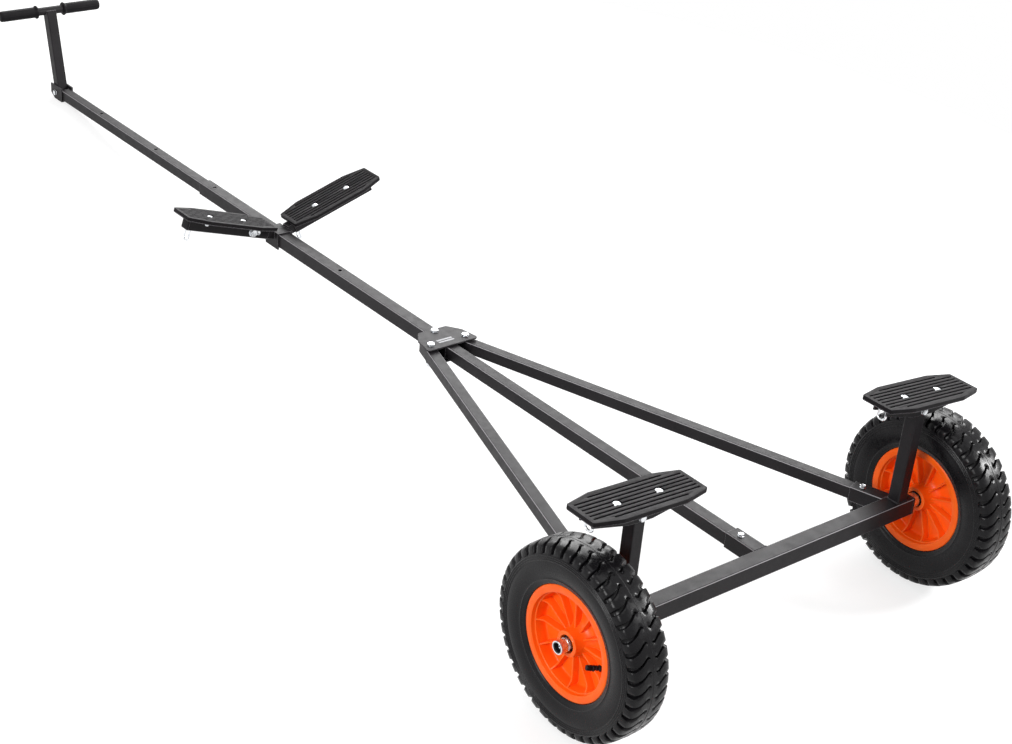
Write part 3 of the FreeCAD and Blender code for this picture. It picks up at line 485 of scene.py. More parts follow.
def studio_floor():
    """A pale round floor that keeps the shadows, and ends where it still looks white."""
    form = bmesh.new()
    slab(form, [corner[:2] for corner in circle(FLOOR_RADIUS, 0, 96)], -FLOOR_THICK, 0)
    mesh = mesh_of("floor", form)
    item = stand("floor", mesh)
    material = bpy.data.materials.new("pale paper")
    tree = cleared(material)
    matt = add(tree, "ShaderNodeBsdfDiffuse", values={"Color": PAPER})
    light = add(tree, "ShaderNodeEmission", values={"Color": WHITE})
    strength = add(tree, "ShaderNodeMath", {"operation": "MULTIPLY"}, {1: FLOOR_GLOW},
                   {0: pale_rays(tree)})
    tree.links.new(strength.outputs[0], light.inputs["Strength"])
    both = add(tree, "ShaderNodeAddShader", links={0: matt.outputs[0], 1: light.outputs[0]})
    add(tree, "ShaderNodeOutputMaterial", links={"Surface": both.outputs[0]})
    mesh.materials.append(material)


def soft_light(name, place, aim, size, power):
    data = bpy.data.lights.new(name, "AREA")
    data.shape = "DISK"
    data.size = size
    data.energy = power
    back = (Vector(place) - Vector(aim)).normalized()
    facing = back.to_track_quat("Z", "Y").to_matrix().to_4x4()
    stand(name, data, Matrix.Translation(Vector(place)) @ facing)


bpy.context.scene.view_settings.view_transform = "Standard"
studio_world()
studio_floor()
for name, settings in LAMPS.items():
    soft_light(name, *settings)
print("Lights:", list(LAMPS))

# %% [markdown]
# Each tyre is a moulded carcass with bars across its tread. It could be a turned ring with
# blocks set on it, but real bars grow out of the carcass with soft roots. So it is one skin:
# rings run round the tyre side by side, and at each groove they dive from the bar's crown to the
# groove's floor. A plain rib runs round the middle, and the grooves start beside it, bend like an
# S and widen to the shoulder, where they cut right through to the side wall. Three low ridges
# run round the wall, and a bead near the rim.

# %% Tyre section
BAR_COUNT = 44
TYRE_RADIUS = 190.5
PITCH = 2 * math.pi / BAR_COUNT
# Across the tread: distance from the middle, crown radius, floor inset across, floor radius,
# half the groove's width, and how far the groove has wandered back round the tyre.
TREAD = [(0, 190.5, 0, 190.5, 0.9, 0), (0.5, 190.5, 0, 190.5, 0.9, 0), (0.9, 190, 0, 190, 0.9, 0),
         (4.8, 190, 0, 190, 0.9, 0), (5.6, 190, 0, 187.2, 1.4, -0.5), (7.5, 190, 0, 183.8, 2, -1.8),
         (10, 190, 0, 182.8, 2.5, -2), (13, 190, 0, 182.4, 2.8, -0.4), (16.5, 189.9, 0, 182.2, 2.9, 2.6),
         (20.5, 189.7, 0, 182, 3, 5.8), (25, 189.3, 0.2, 181.6, 3.2, 8.8),
         (29.5, 188.6, 0.5, 180.8, 3.5, 11), (33.5, 187.4, 1, 178, 4, 12.2),
         (37, 185.8, 2, 175, 4.5, 12.8), (39.6, 183.8, 3.4, 172.6, 4.8, 12.8),
         (41.4, 181, 4.6, 171, 4.9, 12.5), (42.6, 177.6, 5, 170.2, 4.9, 12.2),
         (43.3, 174.4, 4.4, 169.8, 4.7, 12), (43.7, 172, 2.6, 169.4, 4.2, 12)]
BAR_EDGE = 0.6
# A ridge as steps in radius with their height, and where the ridges run round the wall.
RIDGE = ((1.6, 0.0), (1.1, 0.3), (0.7, 0.65), (0.35, 0.92), (0.0, 1.0), (-0.35, 0.92), (-0.7, 0.65),
         (-1.1, 0.3), (-1.6, 0.0))
RIDGE_RINGS = (166.9, 162.7, 158.5)
WALL = [(43.6, 169)]
WALL += [(43.8 + lift, ring + step) for ring in RIDGE_RINGS for step, lift in RIDGE]
WALL += [(44.2, 155), (44.5, 150), (44.4, 143), (43.6, 136), (42.2, 129), (40.9, 124.4),
         (41, 123), (41.5, 122.2), (41, 121.2), (40, 119.5), (38.8, 116.6), (37.9, 113.4),
         (36.4, 112.1), (35.2, 111.6), (33, 109)]


def station(across, crown, inset, floor, width, wander):
    """One ring round the tyre, over every bar's crown and every groove's floor in turn."""
    ring = []
    side = 1 if across >= 0 else -1
    bar = PITCH * TYRE_RADIUS
    edge = width + BAR_EDGE
    for number in range(BAR_COUNT):
        for offset, depth in ((-edge, 0.0), (-width, 0.08), (-0.74 * width, 0.94), (0.0, 1.0),
                              (0.74 * width, 0.94), (width, 0.08), (edge, 0.0),
                              (edge + (bar - 2 * edge) / 3, 0.0), (edge + (bar - 2 * edge) * 2 / 3, 0.0)):
            angle = PITCH * number + (offset - side * wander) / TYRE_RADIUS
            radius = crown + (floor - crown) * depth
            aside = across - side * inset * depth
            ring.append((radius * math.cos(angle), radius * math.sin(angle), aside))
    return ring


def tyre(name):
    form = bmesh.new()
    outer = [station(*row) for row in TREAD]
    inner = [station(-row[0], *row[1:]) for row in reversed(TREAD[1:])]
    steps = len(outer[0])
    start = -TREAD[-1][-1] / TYRE_RADIUS
    walls = [circle(radius, height, steps, start) for height, radius in WALL]
    back_walls = [circle(radius, -height, steps, -start) for height, radius in reversed(WALL)]
    skin(form, back_walls + inner + outer + walls)
    item = piece(name + "_tyre_rubber", form, RUBBER, name + "_wheel", WHEEL[name], crease=50)
    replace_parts(item, name + "_tyre")
    return item


for name in SIDES:
    print(tyre(name).name, "bars:", BAR_COUNT)

# %% [markdown]
# The rim is one orange moulding: a hub that flares into a thin disc, a deep barrel with a flat
# lip, and twelve ribs on each face. The turned part is a lathe section with soft corners, and
# each rib is a thin fin whose edge runs level from the hub and sweeps up to meet the barrel.

# %% Rims
RIM_FACE = [(17.5, 0), (17.5, 34.3), (18.2, 35), (24.2, 35), (25, 34.3), (25.4, 29),
            (26.2, 23), (27.8, 17), (30.6, 11.5), (35, 7), (41, 4), (47, 3),
            (60, 3), (88, 3), (91.5, 3.6), (93.2, 5.4), (93.7, 8.5), (93.9, 26.6),
            (94.3, 27.6), (95.6, 28), (96, 28.8), (96.2, 35), (96.8, 36.4), (98.2, 37),
            (108.8, 37), (110.6, 36.4), (111.4, 35.2), (111.2, 33.8), (106, 31.5), (99.5, 29.5)]
RIB_COUNT = 12
RIB_TURN = 7.5
RIB_HALF = 1.75
RIB_LEVEL = 17.5
RIB_REACH = (22.0, 94.5)
RIB_STEPS = 24
# The ribs' edges: where they begin to sweep up, over what length, and how high by its end.
SWEEP_START, SWEEP_LENGTH, SWEEP_RISE = 76, 18, 9.5


def rib_height(radius):
    """Level over the disc, then a sweep up to the ledge in the barrel."""
    sweep = max(0.0, (radius - SWEEP_START) / SWEEP_LENGTH)
    return RIB_LEVEL + SWEEP_RISE * sweep * sweep


def rib_section(radius):
    """The fin's section at one radius: spread feet, upright faces and a rounded edge."""
    top = rib_height(radius)
    half = [(RIB_HALF + 1.6, 2.7), (RIB_HALF + 0.6, 3.5), (RIB_HALF + 0.15, 5.0), (RIB_HALF, top - 1.4),
            (RIB_HALF * 0.72, top - 0.4), (0.0, top)]
    return [(radius, across, up) for across, up in half] + \
           [(radius, -across, up) for across, up in reversed(half[:-1])]


def rib(form, turn):
    inner, outer = RIB_REACH
    steps = [inner + (outer - inner) * index / RIB_STEPS for index in range(RIB_STEPS + 1)]
    swing = Matrix.Rotation(turn, 3, "Z")
    for face in (1, -1):
        rings = [[swing @ Vector((x, y, z * face)) for x, y, z in rib_section(r)] for r in steps]
        skin(form, rings)


def rim(name):
    form = bmesh.new()
    whole = RIM_FACE + [(radius, -height) for radius, height in reversed(RIM_FACE[1:])]
    lathe(form, whole, 180)
    for number in range(RIB_COUNT):
        rib(form, math.radians(RIB_TURN) + 2 * math.pi * number / RIB_COUNT)
    item = piece(name + "_rim_moulding", form, ORANGE, name + "_wheel", WHEEL[name],
                 crease=40)
    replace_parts(item, name + "_rim")
    return item


for name in SIDES:
    print(rim(name).name, "ribs on each face:", RIB_COUNT)

# %% [markdown]
# A short rubber valve stands in one pocket of the disc and leans towards the hub so that a pump
# reaches it. It is turned: a flared foot, two rings round the stem and a plain cap.

# %% Valves
VALVE_RADIUS = 67.0
VALVE_TURN = -22.5
VALVE_LEAN = -28.0
VALVE_SECTION = [(7.4, 1), (7.2, 3), (5.4, 4.6), (5.2, 6.4), (5.8, 7), (5.8, 9.6),
                 (4.8, 10.2), (4.8, 11.4), (5.8, 12), (5.8, 15.2), (4.6, 15.8), (4.6, 17),
                 (5.2, 17.6), (5.2, 26.4), (4.4, 27.6)]


def valve(name):
    form = bmesh.new()
    lathe(form, VALVE_SECTION, 32, closed=False)
    bmesh.ops.holes_fill(form, edges=form.edges)
    foot = WHEEL[name] @ turned(VALVE_TURN, "Z") @ at(VALVE_RADIUS, 0, 3, Matrix()) @ turned(VALVE_LEAN, "Y")
    item = piece(name + "_valve_stem", form, NYLON, name + "_wheel", foot, crease=30)
    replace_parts(item, name + "_valve")
    return item


for name in SIDES:
    print(valve(name).name)

# %% [markdown]
# Each hub turns on two shielded ball bearings. What shows is a dark shield with a bright ring
# round it, set back in the orange hub, and the end of the sleeve that the nut clamps.

# %% Bearings
HUB_HALF = 35.0
BEARING_BACK = 26.0
SLEEVE_RADIUS = 11.8
SHIELD_RADIUS = 17.2
WHEEL_STEPS = 72


def bearing(name):
    form = bmesh.new()
    half = [(10.1, HUB_HALF), (SLEEVE_RADIUS - 0.4, HUB_HALF), (SLEEVE_RADIUS, HUB_HALF - 0.4),
            (SLEEVE_RADIUS, BEARING_BACK - 0.5), (16.2, BEARING_BACK - 0.5), (16.4, BEARING_BACK),
            (17.45, BEARING_BACK - 0.3), (17.45, 15.0), (SLEEVE_RADIUS, 15.0)]
    lathe(form, half + [(radius, -height) for radius, height in reversed(half)], WHEEL_STEPS)
    item = piece(name + "_bearing_steel", form, ZINC, name + "_wheel", WHEEL[name], crease=30)
    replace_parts(item, name + "_bearings")
    shields = bmesh.new()
    inner = SLEEVE_RADIUS + 0.1
    for face in (1, -1):
        front, back = (BEARING_BACK + 0.05) * face, (BEARING_BACK - 0.6) * face
        lathe(shields, [(inner, front), (SHIELD_RADIUS, front), (SHIELD_RADIUS, back), (inner, back)],
              WHEEL_STEPS)
    piece(name + "_bearing_shields", shields, NYLON, name + "_wheel", WHEEL[name], crease=30)
    return item


for name in SIDES:
    print(bearing(name).name)

# %% [markdown]
# The spindle is turned steel welded into the plate that closes the axle tube. A lock nut with a
# rounded collar holds the wheel, and its dark nylon ring shows round the end of the thread. A
# hexagon's corners are cut by a cone on a real nut, so its rings follow the smaller of the two.

# %% Hexagons, threads and the spindle
SPINDLE_FACE = 406.0
HUB_SIDE = 469.0
AXLE_HALF = 19.0
END_PLATE = 5.0
NUT_FACE = 36.0
NUT_COLLAR = [(13.4, 51), (13.6, 51.8), (13.5, 55.2), (13, 56.5), (12, 57), (10.6, 56.4),
              (10.4, 46), (8, 46)]
# One turn of a thread, in shares of its pitch: how far along it and how deep.
TOOTH = ((0.0, 0.0), (0.15, 0.0), (0.5, 0.5), (0.6, 0.5))


def hex_ring(across, height, cone=0.0, steps=WHEEL_STEPS):
    """A ring round a hexagon, dipping at the corners where a cone cuts them."""
    sector = math.pi / 3
    ring = []
    for index in range(steps):
        angle = 2 * math.pi * index / steps
        reach = across / 2 / math.cos((angle + sector / 2) % sector - sector / 2)
        dip = (reach - across / 2) * cone
        ring.append((reach * math.cos(angle), reach * math.sin(angle), height - dip))
    return ring


def thread(radius, low, high, pitch):
    """Ridges a pitch apart, close enough to a helix to read as one."""
    section = []
    height = low
    while height + pitch < high:
        section += [(radius - pitch * deep, height + pitch * along) for along, deep in TOOTH]
        height += pitch
    return section + [(radius - pitch * 0.4, high - 0.2)]


def hub_place(name):
    """The middle of a hub, with z out along its spindle."""
    return at(0, HUB_SIDE * SIDES[name], 0) @ turned(-90 * SIDES[name], "X")


def spindle(name):
    """The turned shaft, drawn outwards from the axle's end plate, and that plate."""
    place = hub_place(name)
    root = SPINDLE_FACE - HUB_SIDE
    form = bmesh.new()
    section = [(15.0, root + END_PLATE), (15.0, -37.5), (14.2, -36.2), (10.0, -36.0), (10.0, 35.4),
               (9.4, NUT_FACE)]
    section += thread(8.0, NUT_FACE, 45.4, 1.5) + [(5.2, 46.0), (3.0, 46.0), (1.0, 43.5)]
    rows = lathe(form, section, 64, closed=False)
    cap(form, rows[-1])
    item = piece(name + "_spindle_shaft", form, ZINC, "frame", place, crease=30)
    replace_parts(item, name + "_spindle")
    plate = bmesh.new()
    slab(plate, rounded(rectangle(AXLE_HALF, AXLE_HALF), 3.0), root, root + END_PLATE)
    soften_edges(piece(name + "_axle_plate", plate, POWDER, "frame", place), 0.5)
    return item


def wheel_nut(name):
    place = hub_place(name)
    form = bmesh.new()
    lathe(form, [(8.2, NUT_FACE), (12.6, NUT_FACE), (13.0, 36.4), (13.0, 38.6), (12.6, 39.0), (8.2, 39.0)],
          WHEEL_STEPS)
    rings = [circle(8.0, 39.0, WHEEL_STEPS), hex_ring(23, 39.0), hex_ring(24, 39.6, -0.3),
             hex_ring(24, 50.6, 0.5)]
    rings += [circle(radius, height, WHEEL_STEPS) for radius, height in NUT_COLLAR]
    skin(form, rings, closed=True)
    item = piece(name + "_lock_nut", form, ZINC, "frame", place, crease=28)
    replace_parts(item, name + "_wheel_nut")
    ring = bmesh.new()
    lathe(ring, [(8.2, 46.1), (10.3, 46.1), (10.3, 54.9), (10.0, 55.2), (8.5, 55.2), (8.2, 54.9)],
          WHEEL_STEPS)
    piece(name + "_nut_nylon", ring, NYLON, "frame", place, crease=30)
    return item


for name in SIDES:
    print(spindle(name).name, wheel_nut(name).name)

# %% [markdown]
# Each bolt is a washer, a head with its corners cut by a cone, and on through bolts a lock nut
# with a bit of thread at the far side. It is one mesh, drawn outwards from what it clamps.

# %% Bolts and nuts
BOLT_STEPS = 48
# The size over the flats, the head's height, the thread's radius and the washer's radius.
LARGE_BOLT = (15.5, 3.4, 5, 8.4)
SMALL_BOLT = (13, 4.2, 4, 7.4)


def flats(across, height, cone=0.0):
    return hex_ring(across, height, cone, BOLT_STEPS)


def disc(radius, height):
    return circle(radius, height, BOLT_STEPS)


def bolt_head(form, across, height, washer, low=0.0):
    """A washer and a hexagon head, as closed rings on the axis."""
    thick = across * 0.09
    lathe(form, [(1.0, low), (washer - 0.3, low), (washer, low + 0.3), (washer, low + thick - 0.3),
                 (washer - 0.3, low + thick), (1.0, low + thick)], BOLT_STEPS)
    base = low + thick
    top = base + height
    rows = skin(form, [flats(across * 0.97, base), flats(across, base + 0.4, -0.2),
                       flats(across, top, 0.55), disc(across / 2 * 0.93, top + 0.1),
                       disc(across / 2 * 0.8, top - 0.1)])
    cap(form, rows[-1])
    cap(form, rows[0][::-1])


def lock_nut_end(form, across, height, radius, low):
    """A washer, a nut with a rounded collar and the end of the thread."""
    washer = across * 0.62
    thick = across * 0.12
    lathe(form, [(1.0, low), (washer, low), (washer, low + thick), (1.0, low + thick)], BOLT_STEPS)
    base = low + thick
    collar, top = base + height * 0.68, base + height
    rows = skin(form, [flats(across * 0.97, base), flats(across, base + 0.4, -0.2),
                       flats(across, collar, 0.5), disc(across * 0.47, collar),
                       disc(across * 0.465, top - 0.8), disc(across * 0.42, top),
                       disc(radius + 0.4, top), disc(radius, top - 0.6)])
    cap(form, rows[0][::-1])
    tip = [(0.0, 0.0), (0.5, 0.4), (0.0, 0.8), (0.5, 1.2), (0.0, 1.6), (0.9, 2.2)]
    ends = lathe(form, [(radius - deep, top - 0.8 + along) for deep, along in tip], BOLT_STEPS,
                 closed=False)
    cap(form, ends[-1])


def through_bolt(name, place, grip, body, across, height, radius, washer):
    """A bolt through something of a given thickness, its head at +z and its nut at -z."""
    form = bmesh.new()
    bolt_head(form, across, height, washer, grip / 2)
    nut = bmesh.new()
    lock_nut_end(nut, across, across * 0.55, radius, grip / 2)
    bmesh.ops.rotate(nut, matrix=Matrix.Rotation(math.pi, 3, "X"), verts=nut.verts)
    spare = mesh_of("spare", nut)
    form.from_mesh(spare)
    bpy.data.meshes.remove(spare)
    return piece(name, form, ZINC, body, place, crease=28)


def cup_head(form, radius, height):
    """The smooth dome of a coach bolt, with a thin flat rim."""
    rise = [(radius * math.cos(a), 0.8 + (height - 0.8) * math.sin(a))
            for a in [math.pi / 2 * k / 10 for k in range(10)]]
    rows = lathe(form, [(radius - 0.3, 0), (radius, 0.3)] + rise, BOLT_STEPS, closed=False)
    cap(form, rows[-1])
    cap(form, rows[0][::-1])


print("Bolt helpers ready")

# %% [markdown]
# Two plates clamp the ends of the braces to the drawbar. They are laser cut from 4 mm sheet with
# rounded corners, so a slab of that outline with its edges broken is all that they need.

# %% Gusset plates and their bolts
GUSSET = [(1001, 72), (1053, 63), (1085, 40), (1085, -40), (1053, -63), (1001, -72)]
GUSSET_FACE = 17.5
GUSSET_THICK = 4.0
LOWER_INSET = 16.0
FRAME_BOLTS = [(1075, 0), (1022, 49), (1022, -49)]


def gusset(name, low, inset=0.0):
    form = bmesh.new()
    outline = [(x, y - math.copysign(inset, y)) for x, y in GUSSET]
    slab(form, rounded(outline, 7.0), low, low + GUSSET_THICK)
    plate = piece(name + "_plate", form, POWDER, "frame", RIG)
    soften_edges(plate, 0.7)
    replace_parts(plate, name)
    return plate


print(gusset("upper_gusset", GUSSET_FACE).name)
print(gusset("lower_gusset", -GUSSET_FACE - GUSSET_THICK, LOWER_INSET).name)
for number, (along, across) in enumerate(FRAME_BOLTS):
    bolt = through_bolt("frame_bolt_%d" % number, at(along, across, 0),
                        2 * (GUSSET_FACE + GUSSET_THICK), "frame", *LARGE_BOLT)
    if number == 0:
        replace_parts(bolt, "gusset_bolts")
print("Frame bolts:", len(FRAME_BOLTS))

# %% [markdown]
# Two plain strips of film sit on the upper plate, where a maker would put a label. They are blank.
# Such film is cast vinyl, very thin and faintly clouded, so a slab of a fifth of a millimetre
# with round corners will do.

# %% Blank label
LABEL_PLACE = (1027.0, 4.5)
LABEL_HALF = (3.0, 21.5)
LABEL_STEP = 9.0
LABEL_HEIGHTS = (0.02, 0.22)
FILM, tree, shader, where = new_finish("cast vinyl film", {"IOR": 1.5, "Specular IOR Level": 0.4})
wire(tree, shader, Base_Color=clouds(tree, where, 12, "#77777B", "#8A8A8E"),
     Roughness=patches(tree, where, 6, 0.34, 0.48), Normal=grained(tree, where, 1.0, 0.02, 0.4))
form = bmesh.new()
for middle in (-LABEL_STEP / 2, LABEL_STEP / 2):
    slab(form, rounded(rectangle(*LABEL_HALF, middle), 1.0), *LABEL_HEIGHTS)
film = piece("blank_label", form, FILM, "frame",
             at(*LABEL_PLACE, GUSSET_FACE + GUSSET_THICK))
print(film.name, "is two strips", 2 * LABEL_HALF[1], "mm long")

# %% [markdown]
# The tubes meet in fillet welds under the coat. A weld is a bead laid as a row of overlapping
# drops, so a thin tube follows the joint and swells and dips once for every drop.

# %% Welds
DROP = 3.2
WELD_SWELL = 0.14
POST_SIDE = 375.0
BRACE_ANGLE = math.degrees(math.atan2(POST_SIDE - FRAME_BOLTS[1][1], FRAME_BOLTS[1][0]))
BRACE_SLOPE = math.tan(math.radians(BRACE_ANGLE))


def resampled(points, step):
    """Evenly spaced places round a closed line through points."""
    corners = [Vector(p) for p in points]
    places = []
    for start, end in zip(corners, corners[1:] + corners[:1]):
        count = max(1, round((end - start).length / step))
        places += [start.lerp(end, index / count) for index in range(count)]
    return places


def weld(name, points, place, radius):
    form = bmesh.new()
    path = resampled(points, DROP / 4)
    rings = []
    for index, here in enumerate(path):
        ahead = (path[(index + 1) % len(path)] - path[index - 1]).normalized()
        side = ahead.orthogonal().normalized()
        swell = radius * (1 + WELD_SWELL * math.cos(math.pi / 2 * index))
        rings.append([here + Matrix.Rotation(2 * math.pi * k / 8, 3, ahead) @ side * swell
                      for k in range(8)])
    skin(form, rings, closed=True)
    piece(name, form, POWDER, "frame", place, crease=60)


def square_line(half, wide=None):
    """The outline of a square tube, to weld round."""
    return [(x, y, 0) for x, y in rounded(rectangle(half, wide or half), 3.0)]


FACING_FORWARD = turned(90, "Y")
weld("rear_socket_weld", square_line(17.5), at(AXLE_HALF, 0, 0) @ FACING_FORWARD, 1.8)
for name, side in SIDES.items():
    foot = at(AXLE_HALF, (POST_SIDE - AXLE_HALF * BRACE_SLOPE) * side, 0)
    weld(name + "_brace_weld", square_line(16.5, 17.2), foot @ FACING_FORWARD, 1.8)
    weld(name + "_post_weld", square_line(14), at(0, POST_SIDE * side, AXLE_HALF), 1.8)
    weld(name + "_plate_weld", square_line(18.4), at(0, SPINDLE_FACE * side, 0) @ turned(90, "X"), 1.2)

# %% [markdown]
# A bolt with a small head goes through the top of each socket and grips the tube inside it.

# %% Socket bolts
SOCKET_BOLT = 72.0
SOCKET_TOP = {"rear": 17.5, "left": 16.5, "right": 16.5}


def socket_bolt(name, across):
    form = bmesh.new()
    bolt_head(form, 11, 4.0, 6.6)
    place = at(SOCKET_BOLT, across, SOCKET_TOP[name])
    piece(name + "_socket_bolt", form, ZINC, "frame", place, crease=28)


socket_bolt("rear", 0)
for name, side in SIDES.items():
    socket_bolt(name, (POST_SIDE - SOCKET_BOLT * BRACE_SLOPE) * side)
print("Socket bolts:", len(SOCKET_TOP))

# %% [markdown]
# Each pad is a slab of black rubber on a thin steel plate. Eight grooves run along it, the outer
# two shorter, with round ends, and two recesses hold the bolts. Grooves like these are cut by a
# mould's ribs, so here round-ended tools are cut out of the slab, and then every edge is eased.

# %% Pads
PAD_LENGTH = 270.0
PAD_WIDTH = 100.0
PAD_END = 72.0
PAD_TAPER = 60.0
PAD_THICK = 10.0
PAD_PLATE = 2.0
GROOVES = 8
GROOVE_STEP = 10.4
GROOVE_WIDTH = 4.4
GROOVE_DEPTH = 3.6
GROOVE_MARGIN = 8.5
BOLT_SPREAD = 50.0
SEAT_RADIUS = 9.4
SEAT_DEPTH = 4.1
CUP_RADIUS = 8.4
CUP_HEIGHT = 3.6


def pad_outline(inset=0.0):
    half, wide, end = PAD_LENGTH / 2 - inset, PAD_WIDTH / 2 - inset, PAD_END / 2 - inset
    neck = PAD_LENGTH / 2 - PAD_TAPER
    return rounded([(-end, -half), (end, -half), (wide, -neck), (wide, neck), (end, half), (-end, half),
                    (-wide, neck), (-wide, -neck)], 4.0, 4)


def groove_reach(across):
    """How far a groove runs from the middle: to the ends, or less where the pad tapers."""
    outer = abs(across) + GROOVE_WIDTH / 2 + GROOVE_MARGIN
    slope = PAD_TAPER / (PAD_WIDTH / 2 - PAD_END / 2)
    return min(PAD_LENGTH / 2 - GROOVE_MARGIN, PAD_LENGTH / 2 - (outer - PAD_END / 2) * slope)


def pad_tools(top, place):
    """Round-ended bars for the grooves and two pegs for the bolts' seats, in one mesh."""
    form = bmesh.new()
    half = GROOVE_WIDTH / 2
    for number in range(GROOVES):
        across = (number - (GROOVES - 1) / 2) * GROOVE_STEP
        bar = rounded(rectangle(half, groove_reach(across), across), half * 0.98, 6)
        slab(form, bar, top - GROOVE_DEPTH, top + 5)
    for spot in (-BOLT_SPREAD, BOLT_SPREAD):
        seat = [(x, y + spot) for x, y, z in circle(SEAT_RADIUS, 0, 32)]
        slab(form, seat, top - SEAT_DEPTH, top + 5)
    bmesh.ops.recalc_face_normals(form, faces=form.faces)
    return stand("pad tools", mesh_of("pad tools", form), place)


def bake_modifiers(item):
    bpy.context.view_layer.update()
    shape = item.evaluated_get(bpy.context.evaluated_depsgraph_get())
    mesh = bpy.data.meshes.new_from_object(shape)
    item.modifiers.clear()
    item.data = mesh


def pad(name, body, base, top):
    """A pad with its plate and bolts, its upper face at a height above the base."""
    form = bmesh.new()
    slab(form, pad_outline(), top - PAD_THICK + PAD_PLATE, top)
    rubber = piece(name + "_rubber", form, PAD_RUBBER, body, base)
    tools = pad_tools(top, base)
    cutting = rubber.modifiers.new("grooves", "BOOLEAN")
    cutting.object = tools
    cutting.solver = "EXACT"
    cutting.use_self = True
    bake_modifiers(rubber)
    bpy.data.objects.remove(tools)
    soften_edges(rubber, 0.7)
    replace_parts(rubber, name)
    plate = bmesh.new()
    slab(plate, pad_outline(0.4), top - PAD_THICK, top - PAD_THICK + PAD_PLATE - 0.1)
    soften_edges(piece(name + "_plate", plate, POWDER, body, base), 0.4)
    for number, spot in enumerate((-BOLT_SPREAD, BOLT_SPREAD)):
        head = bmesh.new()
        cup_head(head, CUP_RADIUS, CUP_HEIGHT)
        piece("%s_bolt_%d" % (name, number), head, ZINC, body,
              at(0, spot, top - SEAT_DEPTH, base), crease=28)
    return rubber


PAD_HEIGHT = 267.0
PIVOT_HEIGHT = 232.0
PAD_LEAN = {"left": 3.0, "right": 5.5}
PAD_BASE = {name: at_hinge(name + "_pad_tilt") @ turned(PAD_LEAN[name], "X") for name in SIDES}
for name in SIDES:
    item = pad(name + "_rear_pad", name + "_pad", PAD_BASE[name], PAD_HEIGHT - PIVOT_HEIGHT)
    print(item.name, "faces:", len(item.data.polygons))

# %% [markdown]
# Straps hook into wire loops under the pads. A loop is bent from 5 mm zinc-plated rod with round
# corners, so a curve with a round section follows it as the bender would.

# %% Strap loops
LOOP_WIRE = 5.0
LOOP_WIDTH = 24.0
LOOP_DROP = 30.0
LOOP_BEND = 7.0


def bent_rod(name, points, body, place):
    """A rod that follows points whose corners are already rounded."""
    data = bpy.data.curves.new(name, "CURVE")
    data.dimensions = "3D"
    data.bevel_depth = LOOP_WIRE / 2 * MM
    data.bevel_resolution = 5
    data.use_fill_caps = True
    line = data.splines.new("POLY")
    line.points.add(len(points) - 1)
    for spot, point in zip(line.points, points):
        spot.co = (*(Vector(point) * MM), 1)
    data.materials.append(ZINC)
    item = stand(name, data, place)
    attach(item, body)
    return item


def strap_loop(name, body, base, along, top):
    """A loop that hangs from a height. Its outline closes above, but only what hangs is kept."""
    half = (LOOP_WIDTH - LOOP_WIRE) / 2
    low, above = top - LOOP_DROP + LOOP_WIRE / 2, top + 60
    bend = rounded([(-half, above), (-half, low), (half, low), (half, above)], LOOP_BEND, 8)
    line = [(x, along, z) for x, z in bend if z < top + 30]
    return bent_rod(name, [(-half, along, top)] + line + [(half, along, top)], body, base)


CARRIER_WALL = 3.0
CARRIER_TOP = PAD_HEIGHT - PIVOT_HEIGHT - PAD_THICK - CARRIER_WALL
LOOP_PLACE = 108.0
PIVOT_GRIP = 34.6
for name in SIDES:
    loop = strap_loop(name + "_pad_loop", name + "_pad", PAD_BASE[name], LOOP_PLACE, CARRIER_TOP)
    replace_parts(loop, name + "_pad_loops")
    pivot = at(0, POST_SIDE * SIDES[name], PIVOT_HEIGHT) @ turned(-90, "Y")
    bolt = through_bolt(name + "_pivot_bolt", pivot, PIVOT_GRIP, "frame", *SMALL_BOLT)
    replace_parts(bolt, name + "_pad_bolt")
print("Strap loops hang", LOOP_DROP, "mm")

# %% [markdown]
# The bow support is a folded saddle over the drawbar with two arms that rise to the sides. Each
# arm is closed by a nylon cap, and the same ribbed pads lie along them.

# %% Bow support
BOW_PLACE = 1742.0
BOW_HEIGHT = 8.0
BOW_SLOPE = 17.4
BOW_PAD_PLACE = 169.0
ARM_HALF = 15.0
ARM_END = 282.0
# Along the arm, above its middle line, and across the flats of the bolt.
ARM_BOLTS = {"left": [(92.0, 0.0, 17.0), (77.0, 1.0, 10.0), (233.0, 7.0, 8.0)], "right": [(233.0, 7.0, 8.0)]}
# Head, thread and washer of these bolts, in shares of the size over the flats.
ARM_BOLT = (0.42, 0.3, 0.66)
BOW_LOOP = {"left": 272.0, "right": -52.0}
# An arm's cap: heights above the tube's end, and how far in from its outside.
CAP_LIP = [(0.0, 0.2), (0.4, 0.0), (1.6, 0.0), (2.1, 0.8), (2.5, 4.0)]


def end_cap(name, place):
    """A plug pushed into a square tube: a rounded lip with a slight dome."""
    form = bmesh.new()
    rings = []
    for height, inset in CAP_LIP:
        half = ARM_HALF - inset
        rings.append([(x, y, height) for x, y in rounded(rectangle(half, half), 3.0)])
    rows = skin(form, rings)
    cap(form, rows[0][::-1])
    cap(form, rows[-1])
    piece(name, form, NYLON, "frame", place, crease=40)


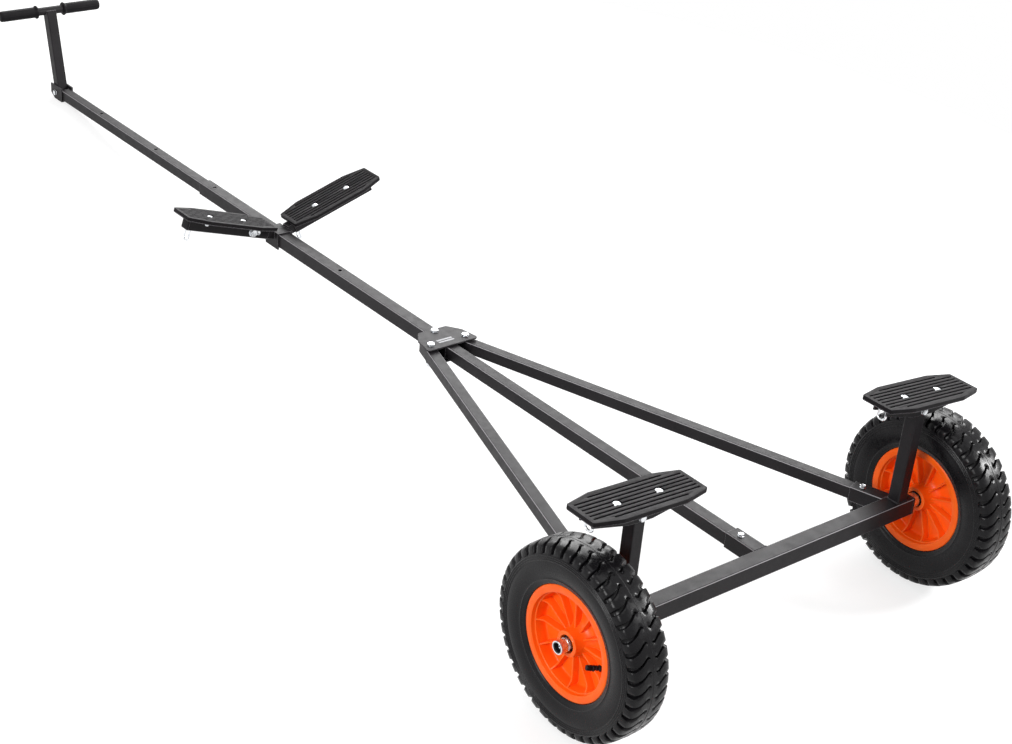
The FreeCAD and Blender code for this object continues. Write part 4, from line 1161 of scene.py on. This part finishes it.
for name, side in SIDES.items():
    base = at(BOW_PLACE, 0, BOW_HEIGHT) @ turned(BOW_SLOPE * side, "X")
    pad(name + "_bow_pad", "frame", at(0, BOW_PAD_PLACE * side, 0, base), ARM_HALF + PAD_THICK)
    loop = strap_loop(name + "_bow_strap_loop", "frame", base, BOW_LOOP[name], -ARM_HALF)
    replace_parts(loop, name + "_bow_loop")
    for number, (spot, lift, across) in enumerate(ARM_BOLTS[name]):
        place = at(0, spot * side, lift, base) @ turned(-90, "Y")
        through_bolt("%s_arm_bolt_%d" % (name, number), place, ARM_HALF * 2, "frame", across,
                     *[across * share for share in ARM_BOLT])
    end_cap(name + "_arm_cap", at(0, ARM_END * side, 0, base) @ turned(-90 * side, "X"))
print("Bow support dressed")

# %% [markdown]
# The handle tilts on a bolt through the fork at the drawbar's nose, and two flanged rubber grips
# are pushed over its bar. A grip is moulded with shallow flutes so that a wet hand holds it.

# %% Handle
HANDLE_LEAN = 14.0
BAR_REACH = 239.0
HANDLE = at_hinge("handle_tilt") @ turned(HANDLE_LEAN, "Y")
NOSE_GRIP = 38.6
GRIP_SECTION = [(11.6, 41), (17.6, 41), (19, 42.4), (19, 44.6), (17.8, 46), (16.4, 47.6),
                (15.3, 50), (15.5, 54), (15.5, 148), (15.3, 152), (14.4, 155.2), (12.6, 157.2),
                (9, 158)]
FLUTES = 10
FLUTE_DEPTH = 0.55
FLUTE_SPAN = (50.0, 153.0)


def grip(name):
    form = bmesh.new()
    rings = []
    steps = FLUTES * 8
    for radius, height in GRIP_SECTION:
        full = FLUTE_DEPTH if FLUTE_SPAN[0] < height < FLUTE_SPAN[1] else 0.0
        ring = []
        for index in range(steps):
            angle = 2 * math.pi * index / steps
            reach = radius - full * max(0.0, math.cos(angle * FLUTES)) ** 2
            ring.append((reach * math.cos(angle), reach * math.sin(angle), height))
        rings.append(ring)
    rows = skin(form, rings)
    cap(form, rows[-1])
    place = at(0, 0, BAR_REACH, HANDLE) @ turned(-90 * SIDES[name], "X")
    item = piece(name + "_grip_rubber", form, GRIP_RUBBER, "handle", place, crease=40)
    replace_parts(item, name + "_grip")
    return item


for name in SIDES:
    print(grip(name).name)
nose = at_hinge("handle_tilt") @ turned(-90, "X")
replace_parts(through_bolt("nose_bolt", nose, NOSE_GRIP, "drawbar_front", *SMALL_BOLT), "handle_bolt")

# %% [markdown]
# The plain steel tubes keep their imported shape, which has rounded corners and real bores, so all
# that they need is a coat. On square tube a highlight is painted along the corners. The T-handle's
# round bar and the folded fork have no such corners.

# %% Powder coat on the imported tubes
ROUNDED = ("handle_tee", "handle_fork")
for node_name, node in frame["nodes"].items():
    if not node.hide_render:
        node.data.materials.clear()
        node.data.materials.append(POWDER if node_name in ROUNDED else TUBE_POWDER)
print("Coated")
